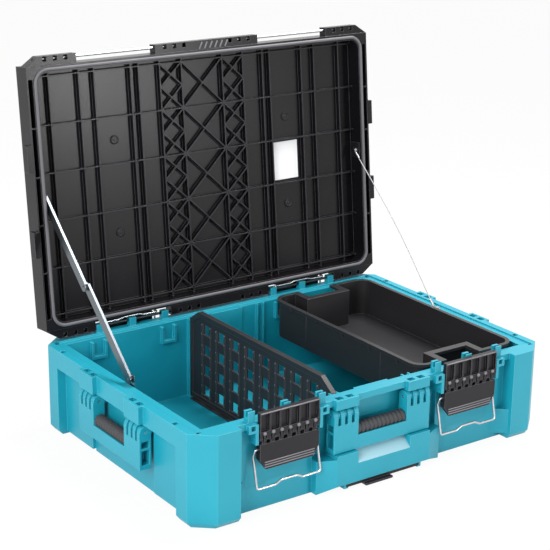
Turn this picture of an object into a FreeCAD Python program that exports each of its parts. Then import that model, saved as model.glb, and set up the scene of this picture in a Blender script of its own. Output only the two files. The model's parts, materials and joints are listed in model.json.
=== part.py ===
import FreeCAD, Part
import math
import os
import re
import Sketcher

Vector = FreeCAD.Vector
Rotation = FreeCAD.Rotation
Placement = FreeCAD.Placement

# Driving sizes in millimetres and degrees.
# X is to the right, Y to the back, Z up, and the origin is the centre of the base.
SIZES = {
    # case shell
    "case_width": 800,
    "case_depth": 568,
    "rim_height": 174,
    "wall": 3.5,
    "floor_thickness": 4,
    "side_rim_width": 34,
    "front_rim_width": 44,
    "front_lip_width": 29,
    "front_lip_height": 12,
    "side_ledge_width": 20,
    "seal_ledge_width": 12,
    "seal_ledge_drop": 3,
    "corner_cut_width": 40,
    "corner_cut_depth": 35,
    "post_front_width": 47,
    "post_side_width": 35,
    "post_wall": 12,
    "foot_bevel_height": 10,
    "foot_bevel_inset": 8,
    "side_band_height": 36,
    "side_panel_step": 18,
    "side_panel_bottom": 5,
    "side_skirt": 9.5,
    "front_skirt": 15,
    "skirt_skin": 2.5,
    "side_bay_width": 223,
    "ramp_width": 23,
    "ramp_height": 60,
    # rim pads and their pockets
    "pad_near": 57,
    "pad_length": 50,
    "side_pad_proud": 10,
    "side_pad_height": 34,
    "front_pad_inset": 7,
    "front_pad_height": 18,
    "pocket_length": 15,
    "pocket_width": 12,
    "pocket_depth": 9,
    "pocket_pitch": 23,
    "pocket_edge": 5,
    "rim_pocket": 10,
    "rim_pocket_in": 8,
    "rim_pocket_back": 83,
    "corner_pocket_in": 20,
    "corner_pocket_back": 31,
    # centre block under the front handle
    "block_width": 214,
    "block_flare": 36,
    "flare_setback": 15,
    "flare_top": 64,
    "block_bottom": 11.5,
    "block_top": 70,
    "block_hollow_top": 40,
    "plate_width": 120,
    "plate_low": 47.5,
    "plate_setback": 26,
    "plate_thickness": 1.2,
    # fittings inside the case
    "guide_rib_width": 3,
    "guide_rib_reach": 8,
    "divider_at": 83.5,
    "slot_width": 12,
    "wall_pad_width": 77,
    "wall_pad_proud": 5,
    "hook_first": 21,
    "hook_pitch": 158,
    "hook_gap": 24,
    "hook_prong": 5,
    "hook_reach": 8,
    "hook_seat": 136,
    "hook_bar": 6,
    "hook_top": 165,
    # rods, saddles and lid hinge
    "rod_radius": 2.75,
    "rod_inset": 20,
    "rod_rise": 10.5,
    "rod_fit": 0.05,
    "saddle_fit": 0.3,
    "saddle_pitch": 75,
    "saddle_width": 14,
    "saddle_rise": 20,
    "rear_saddle_rise": 16,
    "saddle_inner_wall": 5,
    "saddle_outer_wall": 2,
    "lid_open_angle": 95.6,
    # latches
    "latch_spacing": 416,
    "latch_width": 125,
    "latch_pin_inset": 13,
    "latch_pin_height": 141,
    "latch_pin_radius": 1.5,
    "pin_fit": 0.05,
    "knuckle_radius": 6,
    "knuckle_gap": 0.5,
    "latch_front_inset": 6,
    "clasp_gap": 0.2,
    "clasp_top": 190,
    "clasp_edge": 3,
    "clasp_rib": 3,
    "clasp_pocket_depth": 6,
    "clasp_pocket_bottom": 155,
    "lever_thickness": 12,
    "lever_top": 132.5,
    "lever_bottom": 84,
    "lever_cut_width": 12.5,
    "lever_cut_height": 19,
    "lever_back_cut": 8,
    "ear_gap": 2.5,
    "ear_thickness": 6,
    "ear_bottom": 133,
    "ear_reach": 6,
    "bridge_width": 20,
    "bridge_height": 18,
    "bridge_hole": 9,
    # latch bails and hinge wires
    "bail_radius": 2.2,
    "bail_bend": 7,
    "bail_width": 136,
    "bail_pivot_inset": 14,
    "bail_pivot_height": 121,
    "bail_elbow_inset": 20,
    "bail_elbow_height": 108,
    "bail_foot_inset": 7,
    "bail_foot_height": 50,
    "bail_socket": 7,
    "joggle_width": 34,
    "joggle_rise": 6,
    "joggle_run": 12,
    "hinge_wire_width": 120,
    "hinge_wire_gap": 0.3,
    "hinge_wire_out": 12,
    "hinge_joggle_rise": 2.8,
    # handles
    "handle_width": 220,
    "handle_arm_width": 54,
    "handle_out": 13,
    "handle_in": 11,
    "handle_drop": 70,
    "handle_knuckle_radius": 12,
    "handle_slot_width": 7.5,
    "handle_slot_pitch": 15,
    "handle_slot_depth": 17,
    "handle_bar_height": 26,
    "handle_skin": 4,
    "handle_window_depth": 20,
    "handle_low_window": 28,
    "handle_high_window": 13,
    "finger_gap": 0.5,
    "finger_radius": 9,
    "grip_radius": 12,
    "grip_drop": 36,
    "grip_gap": 0.15,
    "grip_rib": 5,
    "grip_groove": 3,
    "grip_groove_depth": 1.5,
    "handle_pin_radius": 3,
    "front_handle_inset": 21,
    "front_handle_height": 142,
    "side_handle_inset": 3,
    "side_handle_height": 124.5,
    # lid shell
    "lid_side_step": 2,
    "lid_front_step": 32,
    "lid_gap": 1,
    "lid_height": 41,
    "lid_panel": 4,
    "lid_skirt": 3,
    "lid_channel": 9,
    "carrier_width": 10,
    "carrier_corner": 21,
    "strip_depth": 18,
    "strip_height": 22,
    "strip_lift": 1.5,
    "strip_wall": 3,
    "rod_window": 8,
    "rod_window_pitch": 22,
    "centre_strip_width": 240,
    "corner_strip_inset": 27,
    "corner_strip_length": 79,
    "lid_rib": 2.5,
    "lid_rib_height": 11,
    "lid_row_margin": 14,
    "edge_rib_inset": 57,
    "channel_far": 277,
    "channel_near": 244,
    "beam_far": 164,
    "beam_near": 146,
    "lattice_outer": 98,
    "lattice_inner": 48,
    "lattice_rib": 2.5,
    "rail_height": 3,
    "lid_pad_proud": 10,
    "lid_pad_height": 20,
    "seal_width": 6,
    "seal_corner": 26,
    "seal_groove": 5,
    "seal_proud": 3.7,
    "seal_fit": 0.1,
    "label_near": 166.3,
    "label_width": 66,
    "label_length": 80,
    "label_thickness": 0.8,
    # folding lid stay
    "stay_y": 2,
    "stay_case_height": 182,
    "stay_lid_height": 191,
    "stay_link_gap": 0.5,
    "stay_width": 18,
    "stay_channel": 5,
    "stay_sheet": 1.5,
    "stay_relief": 46,
    "stay_pin_radius": 2.5,
    "stay_pin_fit": 0.08,
    "stay_head_radius": 4.5,
    "stay_head": 1.5,
    "stay_plate_width": 28,
    "stay_plate_height": 18,
    "stay_plate_thickness": 1,
    "stay_lid_gap": 0.3,
    "stay_case_plate_drop": 32,
    "stay_boss": 12,
    # wire lanyard
    "lanyard_radius": 1,
    "lanyard_wall_gap": 6,
    "lanyard_case_inset": 4,
    "lanyard_case_y": 6,
    "tongue_length": 12,
    "tongue_width": 7,
    "lanyard_y": 2,
    "lanyard_case_height": 171,
    "lanyard_lid_height": 190,
    "lanyard_bow": 9,
    "lanyard_lead": 6,
    "ferrule_radius": 2.4,
    "ferrule_length": 16,
    "ferrule_start": 5,
    "eyelet_radius": 6,
    "eyelet_thickness": 1.6,
    "screw_radius": 2.2,
    "screw_fit": 0.05,
    "screw_head_radius": 4.5,
    "screw_head": 2.5,
    "screw_length": 8,
    # divider
    "divider_thickness": 4,
    "divider_top": 194,
    "divider_end_gap": 2,
    "divider_foot_gap": 0.3,
    "divider_rib": 3,
    "divider_rib_proud": 2,
    "divider_rib_offset": 15,
    "divider_shoulder": 171,
    "divider_bevel_length": 34,
    "divider_frame": 10,
    "divider_foot_width": 31,
    "divider_foot_height": 3,
    "divider_foot_inset": 20,
    "divider_hole_width": 21,
    "divider_hole_height": 22,
    "divider_hole_pitch": 50.8,
    "divider_row_pitch": 43.3,
    "divider_first_row": 161,
    # lift-out tray
    "tray_side_gap": 10,
    "tray_width": 238,
    "tray_end_gap": 8.5,
    "tray_top": 178,
    "tray_bottom": 98,
    "tray_wall": 3,
    "tray_corner": 26,
    "tray_rim": 5,
    "tray_rim_height": 6,
    "tray_notch_start": 54,
    "tray_notch_width": 104,
    "tray_notch_depth": 44,
    "tray_grip": 11,
    "tray_lug_gap": 1,
    "tray_lug_height": 14,
    # base lock slide
    "slide_width": 170,
    "slide_depth": 20,
    "slide_back": 22,
    "slide_bottom": 4.5,
    "slide_gap": 0.3,
    "slide_rail": 4,
    "slide_lip": 5,
    "slide_lip_height": 2,
    "slide_tab_width": 62,
    "slide_tab_offset": 15,
    "slide_tab_reach": 7,
    "slide_tab_bottom": 1.5,
    "slide_tab_thickness": 3.5,
}

LATCH_FINGERS = 7
CLASP_POCKETS = 6
DIVIDER_COLUMNS = 8
DIVIDER_ROWS = 4
LANYARD_RUNS = 9
LID_ROWS = 5
# Share of a cord's run that the bend at one of its ends may take
BEND_SHARE = 0.45
SIDES = (-1, 1)
# How far a cutting block runs past the face that it cuts
OVER = 1

doc = FreeCAD.newDocument("tool_case")
sheet = doc.addObject("Spreadsheet::Sheet", "Sizes")
for row, (alias, number) in enumerate(SIZES.items(), start=1):
    sheet.set(f"A{row}", alias)
    sheet.set(f"B{row}", str(number))
    sheet.setAlias(f"B{row}", alias)
doc.recompute()


def mm(alias):
    """A driving size, read back from the sheet."""
    return float(sheet.get(alias))


def in_sheet(text):
    """An expression with each size's name pointed at the sheet."""
    return re.sub(r"[a-z][a-z_]*", lambda m: "Sizes." + m[0] if m[0] in SIZES else m[0], str(text))


def bind(item, prop, text):
    item.setExpression(prop, in_sheet(text))


# Places that several pieces share
HALF_X = "(case_width / 2)"
HALF_Y = "(case_depth / 2)"
INNER_X = "(case_width / 2 - side_rim_width)"
INNER_Y = "(case_depth / 2 - front_rim_width)"
WALL_X = "(case_width / 2 - side_rim_width + wall)"
WALL_Y = "(case_depth / 2 - front_rim_width + wall)"
SKIRT_X = "(case_width / 2 - side_rim_width + side_skirt)"
SKIRT_Y = "(case_depth / 2 - front_rim_width + front_skirt)"
LIP_Y = "(case_depth / 2 - front_rim_width + front_lip_width)"
POST_X = "(case_width / 2 - corner_cut_width - post_front_width)"
POST_Y = "(case_depth / 2 - corner_cut_depth - post_side_width)"
ROD_Y = "(case_depth / 2 - rod_inset)"
ROD_Z = "(rim_height + rod_rise)"
LATCH_X = "(latch_spacing / 2)"
LATCH_Y = "(case_depth / 2 - latch_pin_inset)"
LATCH_FRONT = "(case_depth / 2 - latch_front_inset)"
PART_Z = "(rim_height + lid_gap)"
PANEL_Z = "(rim_height + lid_gap + lid_height - lid_panel)"
LID_X = "(case_width / 2 - lid_side_step)"
LID_Y = "(case_depth / 2 - lid_front_step)"
CARRIER_X = "(case_width / 2 - lid_side_step - lid_skirt - lid_channel)"
STRIP_FAR = "(case_width / 2 - lid_side_step - corner_strip_inset)"
STRIP_NEAR = f"({STRIP_FAR} - corner_strip_length)"
TRAY_FAR = f"({INNER_X} - tray_side_gap)"
TRAY_NEAR = f"({TRAY_FAR} - tray_width)"
HOOKS_AT = (f"{TRAY_NEAR} + hook_first", f"{TRAY_NEAR} + hook_first + hook_pitch")


def flip(sign, text):
    return f"{sign} * ({text})"


def span(sign, near, far):
    """Low and high ends of a stretch on the plus or minus side of a centre plane."""
    return (near, far) if sign > 0 else (f"-({far})", f"-({near})")


def about(middle, width):
    """Low and high ends of a stretch of one width about its middle."""
    return f"{middle} - ({width}) / 2", f"{middle} + ({width}) / 2"


def both(half):
    return f"-({half})", half


def box(x, y, z):
    solid = doc.addObject("Part::Box", "block")
    for prop, axis, (low, high) in zip(("Length", "Width", "Height"), "xyz", (x, y, z)):
        bind(solid, prop, f"({high}) - ({low})")
        bind(solid, f"Placement.Base.{axis}", low)
    return solid


ROUND_TURN = {"x": Rotation(Vector(0, 1, 0), 90), "y": Rotation(Vector(1, 0, 0), -90), "z": Rotation()}


def cylinder(axis, radius, ends, at):
    """A round bar between two ends along an axis, at the two other coordinates."""
    low, high = ends
    solid = doc.addObject("Part::Cylinder", "round")
    solid.Placement = Placement(Vector(), ROUND_TURN[axis])
    bind(solid, "Radius", radius)
    bind(solid, "Height", f"({high}) - ({low})")
    bind(solid, f"Placement.Base.{axis}", low)
    for other, place in zip([a for a in "xyz" if a != axis], at):
        bind(solid, f"Placement.Base.{other}", place)
    return solid


# Each drawing plane's turn, and the direction that its outline is extruded in
PLANES = {
    "x": (Rotation(Vector(0, 1, 0), Vector(0, 0, 1), Vector(1, 0, 0), "XYZ"), Vector(1, 0, 0)),
    "y": (Rotation(Vector(1, 0, 0), Vector(0, 0, 1), Vector(0, -1, 0), "XYZ"), Vector(0, 1, 0)),
    "z": (Rotation(), Vector(0, 0, 1)),
}


def outline(axis, at, points):
    """A closed sketch of straight lines, each corner held by its two distances from the axes."""
    sketch = doc.addObject("Sketcher::SketchObject", "outline")
    sketch.Placement = Placement(Vector(), PLANES[axis][0])
    bind(sketch, f"Placement.Base.{axis}", at)
    count = len(points)
    reach = mm("case_width")
    turns = [2 * math.pi * k / count for k in range(count)]
    start = [Vector(reach * math.cos(a), reach * math.sin(a), 0) for a in turns]
    for k in range(count):
        sketch.addGeometry(Part.LineSegment(start[k], start[(k + 1) % count]))
    for k in range(count):
        sketch.addConstraint(Sketcher.Constraint("Coincident", k, 2, (k + 1) % count, 1))
    for k, corner in enumerate(points):
        for kind, text, now in zip(("DistanceX", "DistanceY"), corner, start[k]):
            index = sketch.addConstraint(Sketcher.Constraint(kind, -1, 1, k, 1, now))
            bind(sketch, f"Constraints[{index}]", text)
    return sketch


def prism(axis, ends, points):
    """A straight solid between two ends along an axis, over an outline in the two other coordinates."""
    low, high = ends
    solid = doc.addObject("Part::Extrusion", "prism")
    solid.Base = outline(axis, low, points)
    solid.DirMode = "Custom"
    solid.Dir = PLANES[axis][1]
    solid.Solid = True
    bind(solid, "LengthFwd", f"({high}) - ({low})")
    return solid


def fuse(parts, name="join"):
    if len(parts) == 1:
        return parts[0]
    solid = doc.addObject("Part::MultiFuse", name)
    solid.Shapes = parts
    solid.Refine = True
    return solid


def cut(base, tools, name="trim"):
    solid = doc.addObject("Part::Cut", name)
    solid.Base = base
    solid.Tool = fuse(tools, "tools")
    solid.Refine = True
    return solid


def rounded_block(x, y, z, radius):
    """A block with four round upright corners."""
    (x_low, x_high), (y_low, y_high) = x, y
    x_in = (f"({x_low}) + ({radius})", f"({x_high}) - ({radius})")
    y_in = (f"({y_low}) + ({radius})", f"({y_high}) - ({radius})")
    bars = [box(x_in, y, z), box(x, y_in, z)]
    for at_x in x_in:
        for at_y in y_in:
            bars.append(cylinder("z", radius, z, (at_x, at_y)))
    return fuse(bars, "rounded")


def bent_wire(points, radius, bend):
    """A round wire along straight runs joined by tangent arcs of one bend radius, and its length."""
    corners = [Vector(*p) for p in points]
    edges = []
    start = corners[0]
    for before, corner, after in zip(corners, corners[1:], corners[2:]):
        back = (before - corner).normalize()
        on = (after - corner).normalize()
        half = back.getAngle(on) / 2
        arc = bend if bend else cord_bend(before, corner, after, half)
        reach = arc / math.tan(half)
        middle = (back + on).normalize()
        centre = corner + middle * (arc / math.sin(half))
        first = corner + back * reach
        last = corner + on * reach
        edges.append(Part.LineSegment(start, first).toShape())
        edges.append(Part.Arc(first, centre - middle * arc, last).toShape())
        start = last
    edges.append(Part.LineSegment(start, corners[-1]).toShape())
    path = Part.Wire(edges)
    ring = Part.Wire([Part.makeCircle(radius, corners[0], corners[1] - corners[0])])
    return path.makePipeShell([ring], True, True), path.Length


def cord_bend(before, corner, after, half):
    """The largest arc that a free cord's two runs allow at a corner."""
    shorter = min((before - corner).Length, (after - corner).Length)
    arc = BEND_SHARE * shorter * math.tan(half)
    print(f"cord bend radius {arc:.0f} mm")
    return arc


NODES = []


def node(item, label, place=None):
    """Names a finished sub-part and puts it in its place."""
    item.Label = label
    if place:
        item.Placement = place.multiply(item.Placement)
    NODES.append(item)


def shape_node(shape, label, place=None):
    """A sub-part whose shape neither a body nor a primitive gives, such as a bent wire."""
    item = doc.addObject("Part::Feature", label)
    item.Shape = shape
    node(item, label, place)


def hinge_line():
    """The lid's turning axis, in the middle of the rear rods."""
    return Vector(0, mm("case_depth") / 2 - mm("rod_inset"), mm("rim_height") + mm("rod_rise"))


def lid_place():
    """Turns the lid's pieces from closed to open about the rear rods."""
    return Placement(Vector(), Rotation(Vector(1, 0, 0), -mm("lid_open_angle")), hinge_line())


def post_outline(sx, sy, inset):
    points = [
        (f"{HALF_X} - {inset}", POST_Y),
        (f"{HALF_X} - {inset}", f"{HALF_Y} - corner_cut_depth"),
        (f"{HALF_X} - corner_cut_width", f"{HALF_Y} - {inset}"),
        (POST_X, f"{HALF_Y} - {inset}"),
        (POST_X, INNER_Y),
        (INNER_X, INNER_Y),
        (INNER_X, POST_Y),
    ]
    return [(flip(sx, x), flip(sy, y)) for x, y in points]


def post(sx, sy):
    """One chamfered corner post with a bevelled foot."""
    foot = doc.addObject("Part::Loft", "foot")
    foot.Sections = [
        outline("z", 0, post_outline(sx, sy, "foot_bevel_inset")),
        outline("z", "foot_bevel_height", post_outline(sx, sy, 0)),
    ]
    foot.Solid = True
    foot.Ruled = True
    shaft = prism("z", ("foot_bevel_height", "rim_height"), post_outline(sx, sy, 0))
    return fuse([foot, shaft], "post")


def post_hollow(sx, sy):
    """The open underside of a corner post."""
    points = [
        (f"{HALF_X} - post_wall", f"{POST_Y} + wall"),
        (f"{HALF_X} - post_wall", f"{HALF_Y} - corner_cut_depth - wall"),
        (f"{HALF_X} - corner_cut_width - wall", f"{HALF_Y} - post_wall"),
        (f"{POST_X} + wall", f"{HALF_Y} - post_wall"),
        (f"{POST_X} + wall", WALL_Y),
        (WALL_X, WALL_Y),
        (WALL_X, f"{POST_Y} + wall"),
    ]
    return prism("z", (-OVER, "rim_height - wall"), [(flip(sx, x), flip(sy, y)) for x, y in points])


def pocket_rows(middle):
    """The two pockets in the top of a rim pad, along the rim."""
    for place in SIDES:
        yield about(f"{middle} + {place} * pocket_pitch / 2", "pocket_length")


POCKET_Z = ("rim_height - pocket_depth", f"rim_height + {OVER}")


def side_of_case(sx):
    """Rim band, skirt, shallow panels and pads of the left or right side, and what is cut from them."""
    band_low = "rim_height - side_band_height"
    bay = "(side_bay_width / 2)"
    solids = [
        box(span(sx, INNER_X, HALF_X), both(POST_Y), (band_low, "rim_height")),
        box(span(sx, INNER_X, SKIRT_X), both(bay), (0, band_low)),
    ]
    under = (f"{band_low} - {OVER}", "rim_height - pocket_depth - wall")
    hollows = [
        box(span(sx, WALL_X, f"{HALF_X} - wall"), both(POST_Y), under),
        box(span(sx, WALL_X, f"{SKIRT_X} - skirt_skin"), both(f"{bay} - wall"), (-OVER, band_low)),
    ]
    for sy in SIDES:
        panel_face = f"{HALF_X} - side_panel_step"
        panel_z = ("side_panel_bottom", band_low)
        solids.append(box(span(sx, INNER_X, panel_face), span(sy, bay, POST_Y), panel_z))
        panel_y = span(sy, f"{bay} + wall", f"{POST_Y} - wall")
        hollows.append(box(span(sx, WALL_X, f"{panel_face} - wall"), panel_y, (-OVER, band_low)))
        pad_face = f"{HALF_X} + side_pad_proud"
        pad_y = span(sy, "pad_near", "pad_near + pad_length")
        pad_back = f"{HALF_X} - wall"
        pad_z = ("rim_height - side_pad_height", "rim_height")
        solids.append(box(span(sx, pad_back, pad_face), pad_y, pad_z))
        across = span(sx, f"{pad_face} - pocket_edge - pocket_width", f"{pad_face} - pocket_edge")
        for along in pocket_rows(flip(sy, "pad_near + pad_length / 2")):
            hollows.append(box(across, along, POCKET_Z))
        insets = (("rim_pocket_in", "rim_pocket_back"), ("corner_pocket_in", "corner_pocket_back"))
        for inset_x, inset_y in insets:
            at_x, at_y = f"{HALF_X} - {inset_x}", f"{HALF_Y} - {inset_y}"
            spot = (about(flip(sx, at_x), "rim_pocket"), about(flip(sy, at_y), "rim_pocket"))
            hollows.append(box(*spot, POCKET_Z))
    return solids, hollows


def saddle(sx, sy, place):
    """One open saddle on the rim for a lid rod, and the rod's seat in it."""
    across = about(f"{sx} * {LATCH_X} + {place} * saddle_pitch", "saddle_width")
    seat = "(rod_radius + saddle_fit)"
    depth = span(sy, f"{ROD_Y} - {seat} - saddle_inner_wall", f"{ROD_Y} + {seat} + saddle_outer_wall")
    top = "rim_height + saddle_rise" if sy < 0 else "rim_height + rear_saddle_rise"
    block = box(across, depth, ("rim_height - front_lip_height", top))
    slot = box(across, span(sy, f"{ROD_Y} - {seat}", f"{ROD_Y} + {seat}"), (ROD_Z, f"{top} + {OVER}"))
    return block, [slot, cylinder("x", seat, across, (flip(sy, ROD_Y), ROD_Z))]


def latch_ear(sx, sy, side):
    """An ear beside a latch that holds its pin or wire, with a bridge and square hole above it."""
    def beside(near, far):
        return tuple(f"{sx} * {LATCH_X} + ({end})" for end in span(side, near, far))

    start = "latch_width / 2 + ear_gap"
    ear = beside(start, f"{start} + ear_thickness")
    reach = span(sy, INNER_Y, f"{LATCH_Y} + ear_reach")
    top = "rim_height - seal_ledge_drop"
    ear_z = ("ear_bottom", "rim_height - front_lip_height")
    solids = [
        box(ear, span(sy, WALL_Y, f"{LATCH_Y} + ear_reach"), ear_z),
        box(beside(start, f"{start} + bridge_width"), reach, ("rim_height - bridge_height", top)),
    ]
    bore = "latch_pin_radius + pin_fit" if sy < 0 else "bail_radius + pin_fit"
    window = beside(f"{start} + ear_thickness", f"{start} + ear_thickness + bridge_hole")
    middle = "(rim_height - bridge_height / 2)"
    past = (f"{ear[0]} - {OVER}", f"{ear[1]} + {OVER}")
    hollows = [
        cylinder("x", bore, past, (flip(sy, LATCH_Y), "latch_pin_height")),
        box(window, span(sy, LIP_Y, f"{LATCH_Y} + ear_reach + {OVER}"), about(middle, "bridge_hole")),
    ]
    return solids, hollows


def end_of_case(sy):
    """Lip and skirt of the front or the rear, what hollows them, then saddles and ears with their bores."""
    under_lip = "rim_height - front_lip_height"
    shell = [box(both(POST_X), span(sy, INNER_Y, LIP_Y), (under_lip, "rim_height"))]
    hollows, fittings, bores = [], [], []
    for sx in SIDES:
        start = "(block_width / 2 + block_flare)" if sy < 0 else "0"
        shell.append(box(span(sx, start, POST_X), span(sy, INNER_Y, SKIRT_Y), (0, under_lip)))
        inside = span(sx, f"{start} + wall", f"{POST_X} - wall")
        behind = span(sy, WALL_Y, f"{SKIRT_Y} - skirt_skin")
        hollows.append(box(inside, behind, (-OVER, f"{under_lip} - wall")))
        ramp = [
            (flip(sx, POST_X), flip(sy, f"{HALF_Y} - foot_bevel_inset")),
            (flip(sx, f"{POST_X} - ramp_width"), flip(sy, SKIRT_Y)),
            (flip(sx, POST_X), flip(sy, SKIRT_Y)),
        ]
        fittings.append(prism("z", ("foot_bevel_height", "ramp_height"), ramp))
        for place in (-1, 0, 1):
            block, seats = saddle(sx, sy, place)
            fittings.append(block)
            bores += seats
        for side in SIDES:
            more, less = latch_ear(sx, sy, side)
            fittings += more
            bores += less
    return shell, hollows, fittings, bores


def front_centre():
    """Centre block and handle pads of the front, what hollows them, then the lock slide's rails."""
    front = "(block_width / 2)"
    back = f"({front} + block_flare)"
    step = f"-{HALF_Y} + flare_setback"
    face = f"-{HALF_Y}"
    shell = [box(both(front), (face, f"-{WALL_Y}"), ("block_bottom", "block_top"))]
    hollow_y = (f"{face} + wall", f"-{WALL_Y}")
    hollows = [
        box(both(f"{front} - wall"), hollow_y, (f"block_bottom - {OVER}", "block_hollow_top")),
        prism("x", both("plate_width / 2"), [
            (f"{face} - {OVER}", "plate_low"),
            (face, "plate_low"),
            (f"{face} + plate_setback", "block_top"),
            (f"{face} + plate_setback", f"block_top + {OVER}"),
            (f"{face} - {OVER}", f"block_top + {OVER}"),
        ]),
    ]
    pad_face = f"{face} + front_pad_inset"
    slide_y = (f"{face} + slide_back - slide_depth", f"{face} + slide_back")
    rail = "slide_width / 2 + slide_gap"
    lip_top = "slide_bottom - slide_gap"
    lip_low = f"{lip_top} - slide_lip_height"
    rails = []
    for sx in SIDES:
        plan = [(front, face), (back, step), (back, f"-{WALL_Y}"), (front, f"-{WALL_Y}")]
        flare = prism("z", (0, "flare_top"), [(flip(sx, x), y) for x, y in plan])
        rise = [(front, "block_bottom"), (back, 0), (back, -OVER), (front, -OVER)]
        under_y = (f"{face} - {OVER}", f"-{WALL_Y} + {OVER}")
        shell.append(cut(flare, [prism("y", under_y, [(flip(sx, x), z) for x, z in rise])]))
        pad_x = span(sx, "pad_near", "pad_near + pad_length")
        shell.append(box(pad_x, (pad_face, f"-{INNER_Y}"), ("rim_height - front_pad_height", "rim_height")))
        depth = (f"{pad_face} + pocket_edge", f"{pad_face} + pocket_edge + pocket_width")
        for along in pocket_rows(flip(sx, "pad_near + pad_length / 2")):
            hollows.append(box(along, depth, POCKET_Z))
        rails.append(box(span(sx, rail, f"{rail} + slide_rail"), slide_y, (lip_low, "block_hollow_top")))
        lip_x = span(sx, "slide_width / 2 - slide_lip", f"{rail} + slide_rail")
        for low in (lip_low, "block_bottom"):
            rails.append(box(lip_x, slide_y, (low, f"{low} + slide_lip_height")))
    return shell, hollows, rails


# Where each handle hangs: the pin's distance from the centre, its height, the wall behind it,
# and the turn that takes the front of the case to that side
HANDLES = {
    "front": (f"({HALF_Y} - front_handle_inset)", "front_handle_height", WALL_Y, 0),
    "left": (f"({HALF_X} - side_handle_inset)", "side_handle_height", WALL_X, -90),
    "right": (f"({HALF_X} - side_handle_inset)", "side_handle_height", WALL_X, 90),
}


def to_side(side):
    return Placement(Vector(), Rotation(Vector(0, 0, 1), HANDLES[side][3]))


def pin_place(side):
    """The middle of a handle's pin line, turned to its side."""
    if side == "front":
        out, height = mm("case_depth") / 2 - mm("front_handle_inset"), mm("front_handle_height")
    else:
        out, height = mm("case_width") / 2 - mm("side_handle_inset"), mm("side_handle_height")
    return to_side(side).multiply(Placement(Vector(0, -out, height), Rotation()))


def arm_ends(sx):
    return span(sx, "handle_width / 2 - handle_arm_width", "handle_width / 2")


def slot_middles():
    """Middle of each of the three slots in both of a handle's arms."""
    arm = "(handle_width / 2 - handle_arm_width / 2)"
    return [f"{sx} * {arm} + {k} * handle_slot_pitch" for sx in SIDES for k in (-1, 0, 1)]


def handle_fingers(side):
    """The case's fingers that reach into a handle's slots, and the pins' bores through them."""
    out, height, wall_at, _ = HANDLES[side]
    fingers = []
    for middle in slot_middles():
        across = about(middle, "handle_slot_width - 2 * finger_gap")
        web = box(across, (f"-{out}", f"-{wall_at} + wall / 2"), about(height, "2 * finger_radius"))
        fingers += [web, cylinder("x", "finger_radius", across, (f"-{out}", height))]
    bore, at = "handle_pin_radius + pin_fit", (f"-{out}", height)
    bores = [cylinder("x", bore, arm_ends(sx), at) for sx in SIDES]
    solids, hollows = fuse(fingers, "fingers"), fuse(bores, "bores")
    for item in (solids, hollows):
        item.Placement = to_side(side)
    return solids, hollows


def inner_fittings():
    """Raised wall pads, guide ribs for the divider and open hooks that carry the tray's lugs."""
    solids = []
    ribs = [f"divider_at + {s} * (slot_width + guide_rib_width) / 2" for s in SIDES]
    height = ("floor_thickness", "rim_height - seal_ledge_drop")
    for sy in SIDES:
        solids.append(box(both("wall_pad_width / 2"), span(sy, f"{INNER_Y} - wall_pad_proud", INNER_Y), height))
        for sx in SIDES:
            for middle in ribs:
                reach = span(sy, f"{INNER_Y} - guide_rib_reach", INNER_Y)
                across = about(flip(sx, middle), "guide_rib_width")
                solids.append(box(across, reach, height))
            for middle in HOOKS_AT:
                reach = span(sy, f"{INNER_Y} - hook_reach", INNER_Y)
                across = about(flip(sx, middle), "hook_gap + 2 * hook_prong")
                whole = box(across, reach, ("hook_seat - hook_bar", "hook_top"))
                gap_y = span(sy, f"{INNER_Y} - hook_reach - {OVER}", INNER_Y)
                gap = box(about(flip(sx, middle), "hook_gap"), gap_y, ("hook_seat", f"hook_top + {OVER}"))
                solids.append(cut(whole, [gap], "hook"))
    return solids


# Where the lanyard's lower screw goes into the right-hand ledge
LANYARD_FOOT = (f"{INNER_X} + lanyard_case_inset", "lanyard_case_y")
LANYARD_BORE = ("lanyard_case_height - screw_length", f"lanyard_case_height + {OVER}")


def case_body():
    """The moulded case: tub, posts, rim, pads, saddles, ears and handle fingers."""
    ledge_z = ("rim_height - seal_ledge_drop", f"rim_height + {OVER}")
    shell = [box(both(WALL_X), both(WALL_Y), (0, "rim_height"))]
    hollows = [
        box(both(INNER_X), both(INNER_Y), ("floor_thickness", f"rim_height + {OVER}")),
        box(both(f"{INNER_X} + side_ledge_width"), both(f"{INNER_Y} + seal_ledge_width"), ledge_z),
    ]
    fittings, bores = inner_fittings(), []
    for sx in SIDES:
        more, less = side_of_case(sx)
        shell += more
        hollows += less
        for sy in SIDES:
            shell.append(post(sx, sy))
            hollows.append(post_hollow(sx, sy))
    for sy in SIDES:
        more, less, extra, holes = end_of_case(sy)
        shell += more
        hollows += less
        fittings += extra
        bores += holes
    more, less, extra = front_centre()
    shell += more
    hollows += less
    fittings += extra
    bores.append(cylinder("z", "screw_radius + screw_fit", LANYARD_BORE, LANYARD_FOOT))
    for side in HANDLES:
        fingers, holes = handle_fingers(side)
        fittings.append(fingers)
        bores.append(holes)
    tub = cut(fuse(shell, "case_blocks"), hollows, "case_shell")
    node(cut(fuse([tub] + fittings, "case_joined"), bores, "case"), "case_body")
    badge = [
        (f"-{HALF_Y}", "plate_low"),
        (f"-{HALF_Y} + plate_setback", "block_top"),
        (f"-{HALF_Y} + plate_setback", "block_top + plate_thickness"),
        (f"-{HALF_Y}", "plate_low + plate_thickness"),
    ]
    node(prism("x", both("plate_width / 2"), badge), "front_label_plate")


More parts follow.
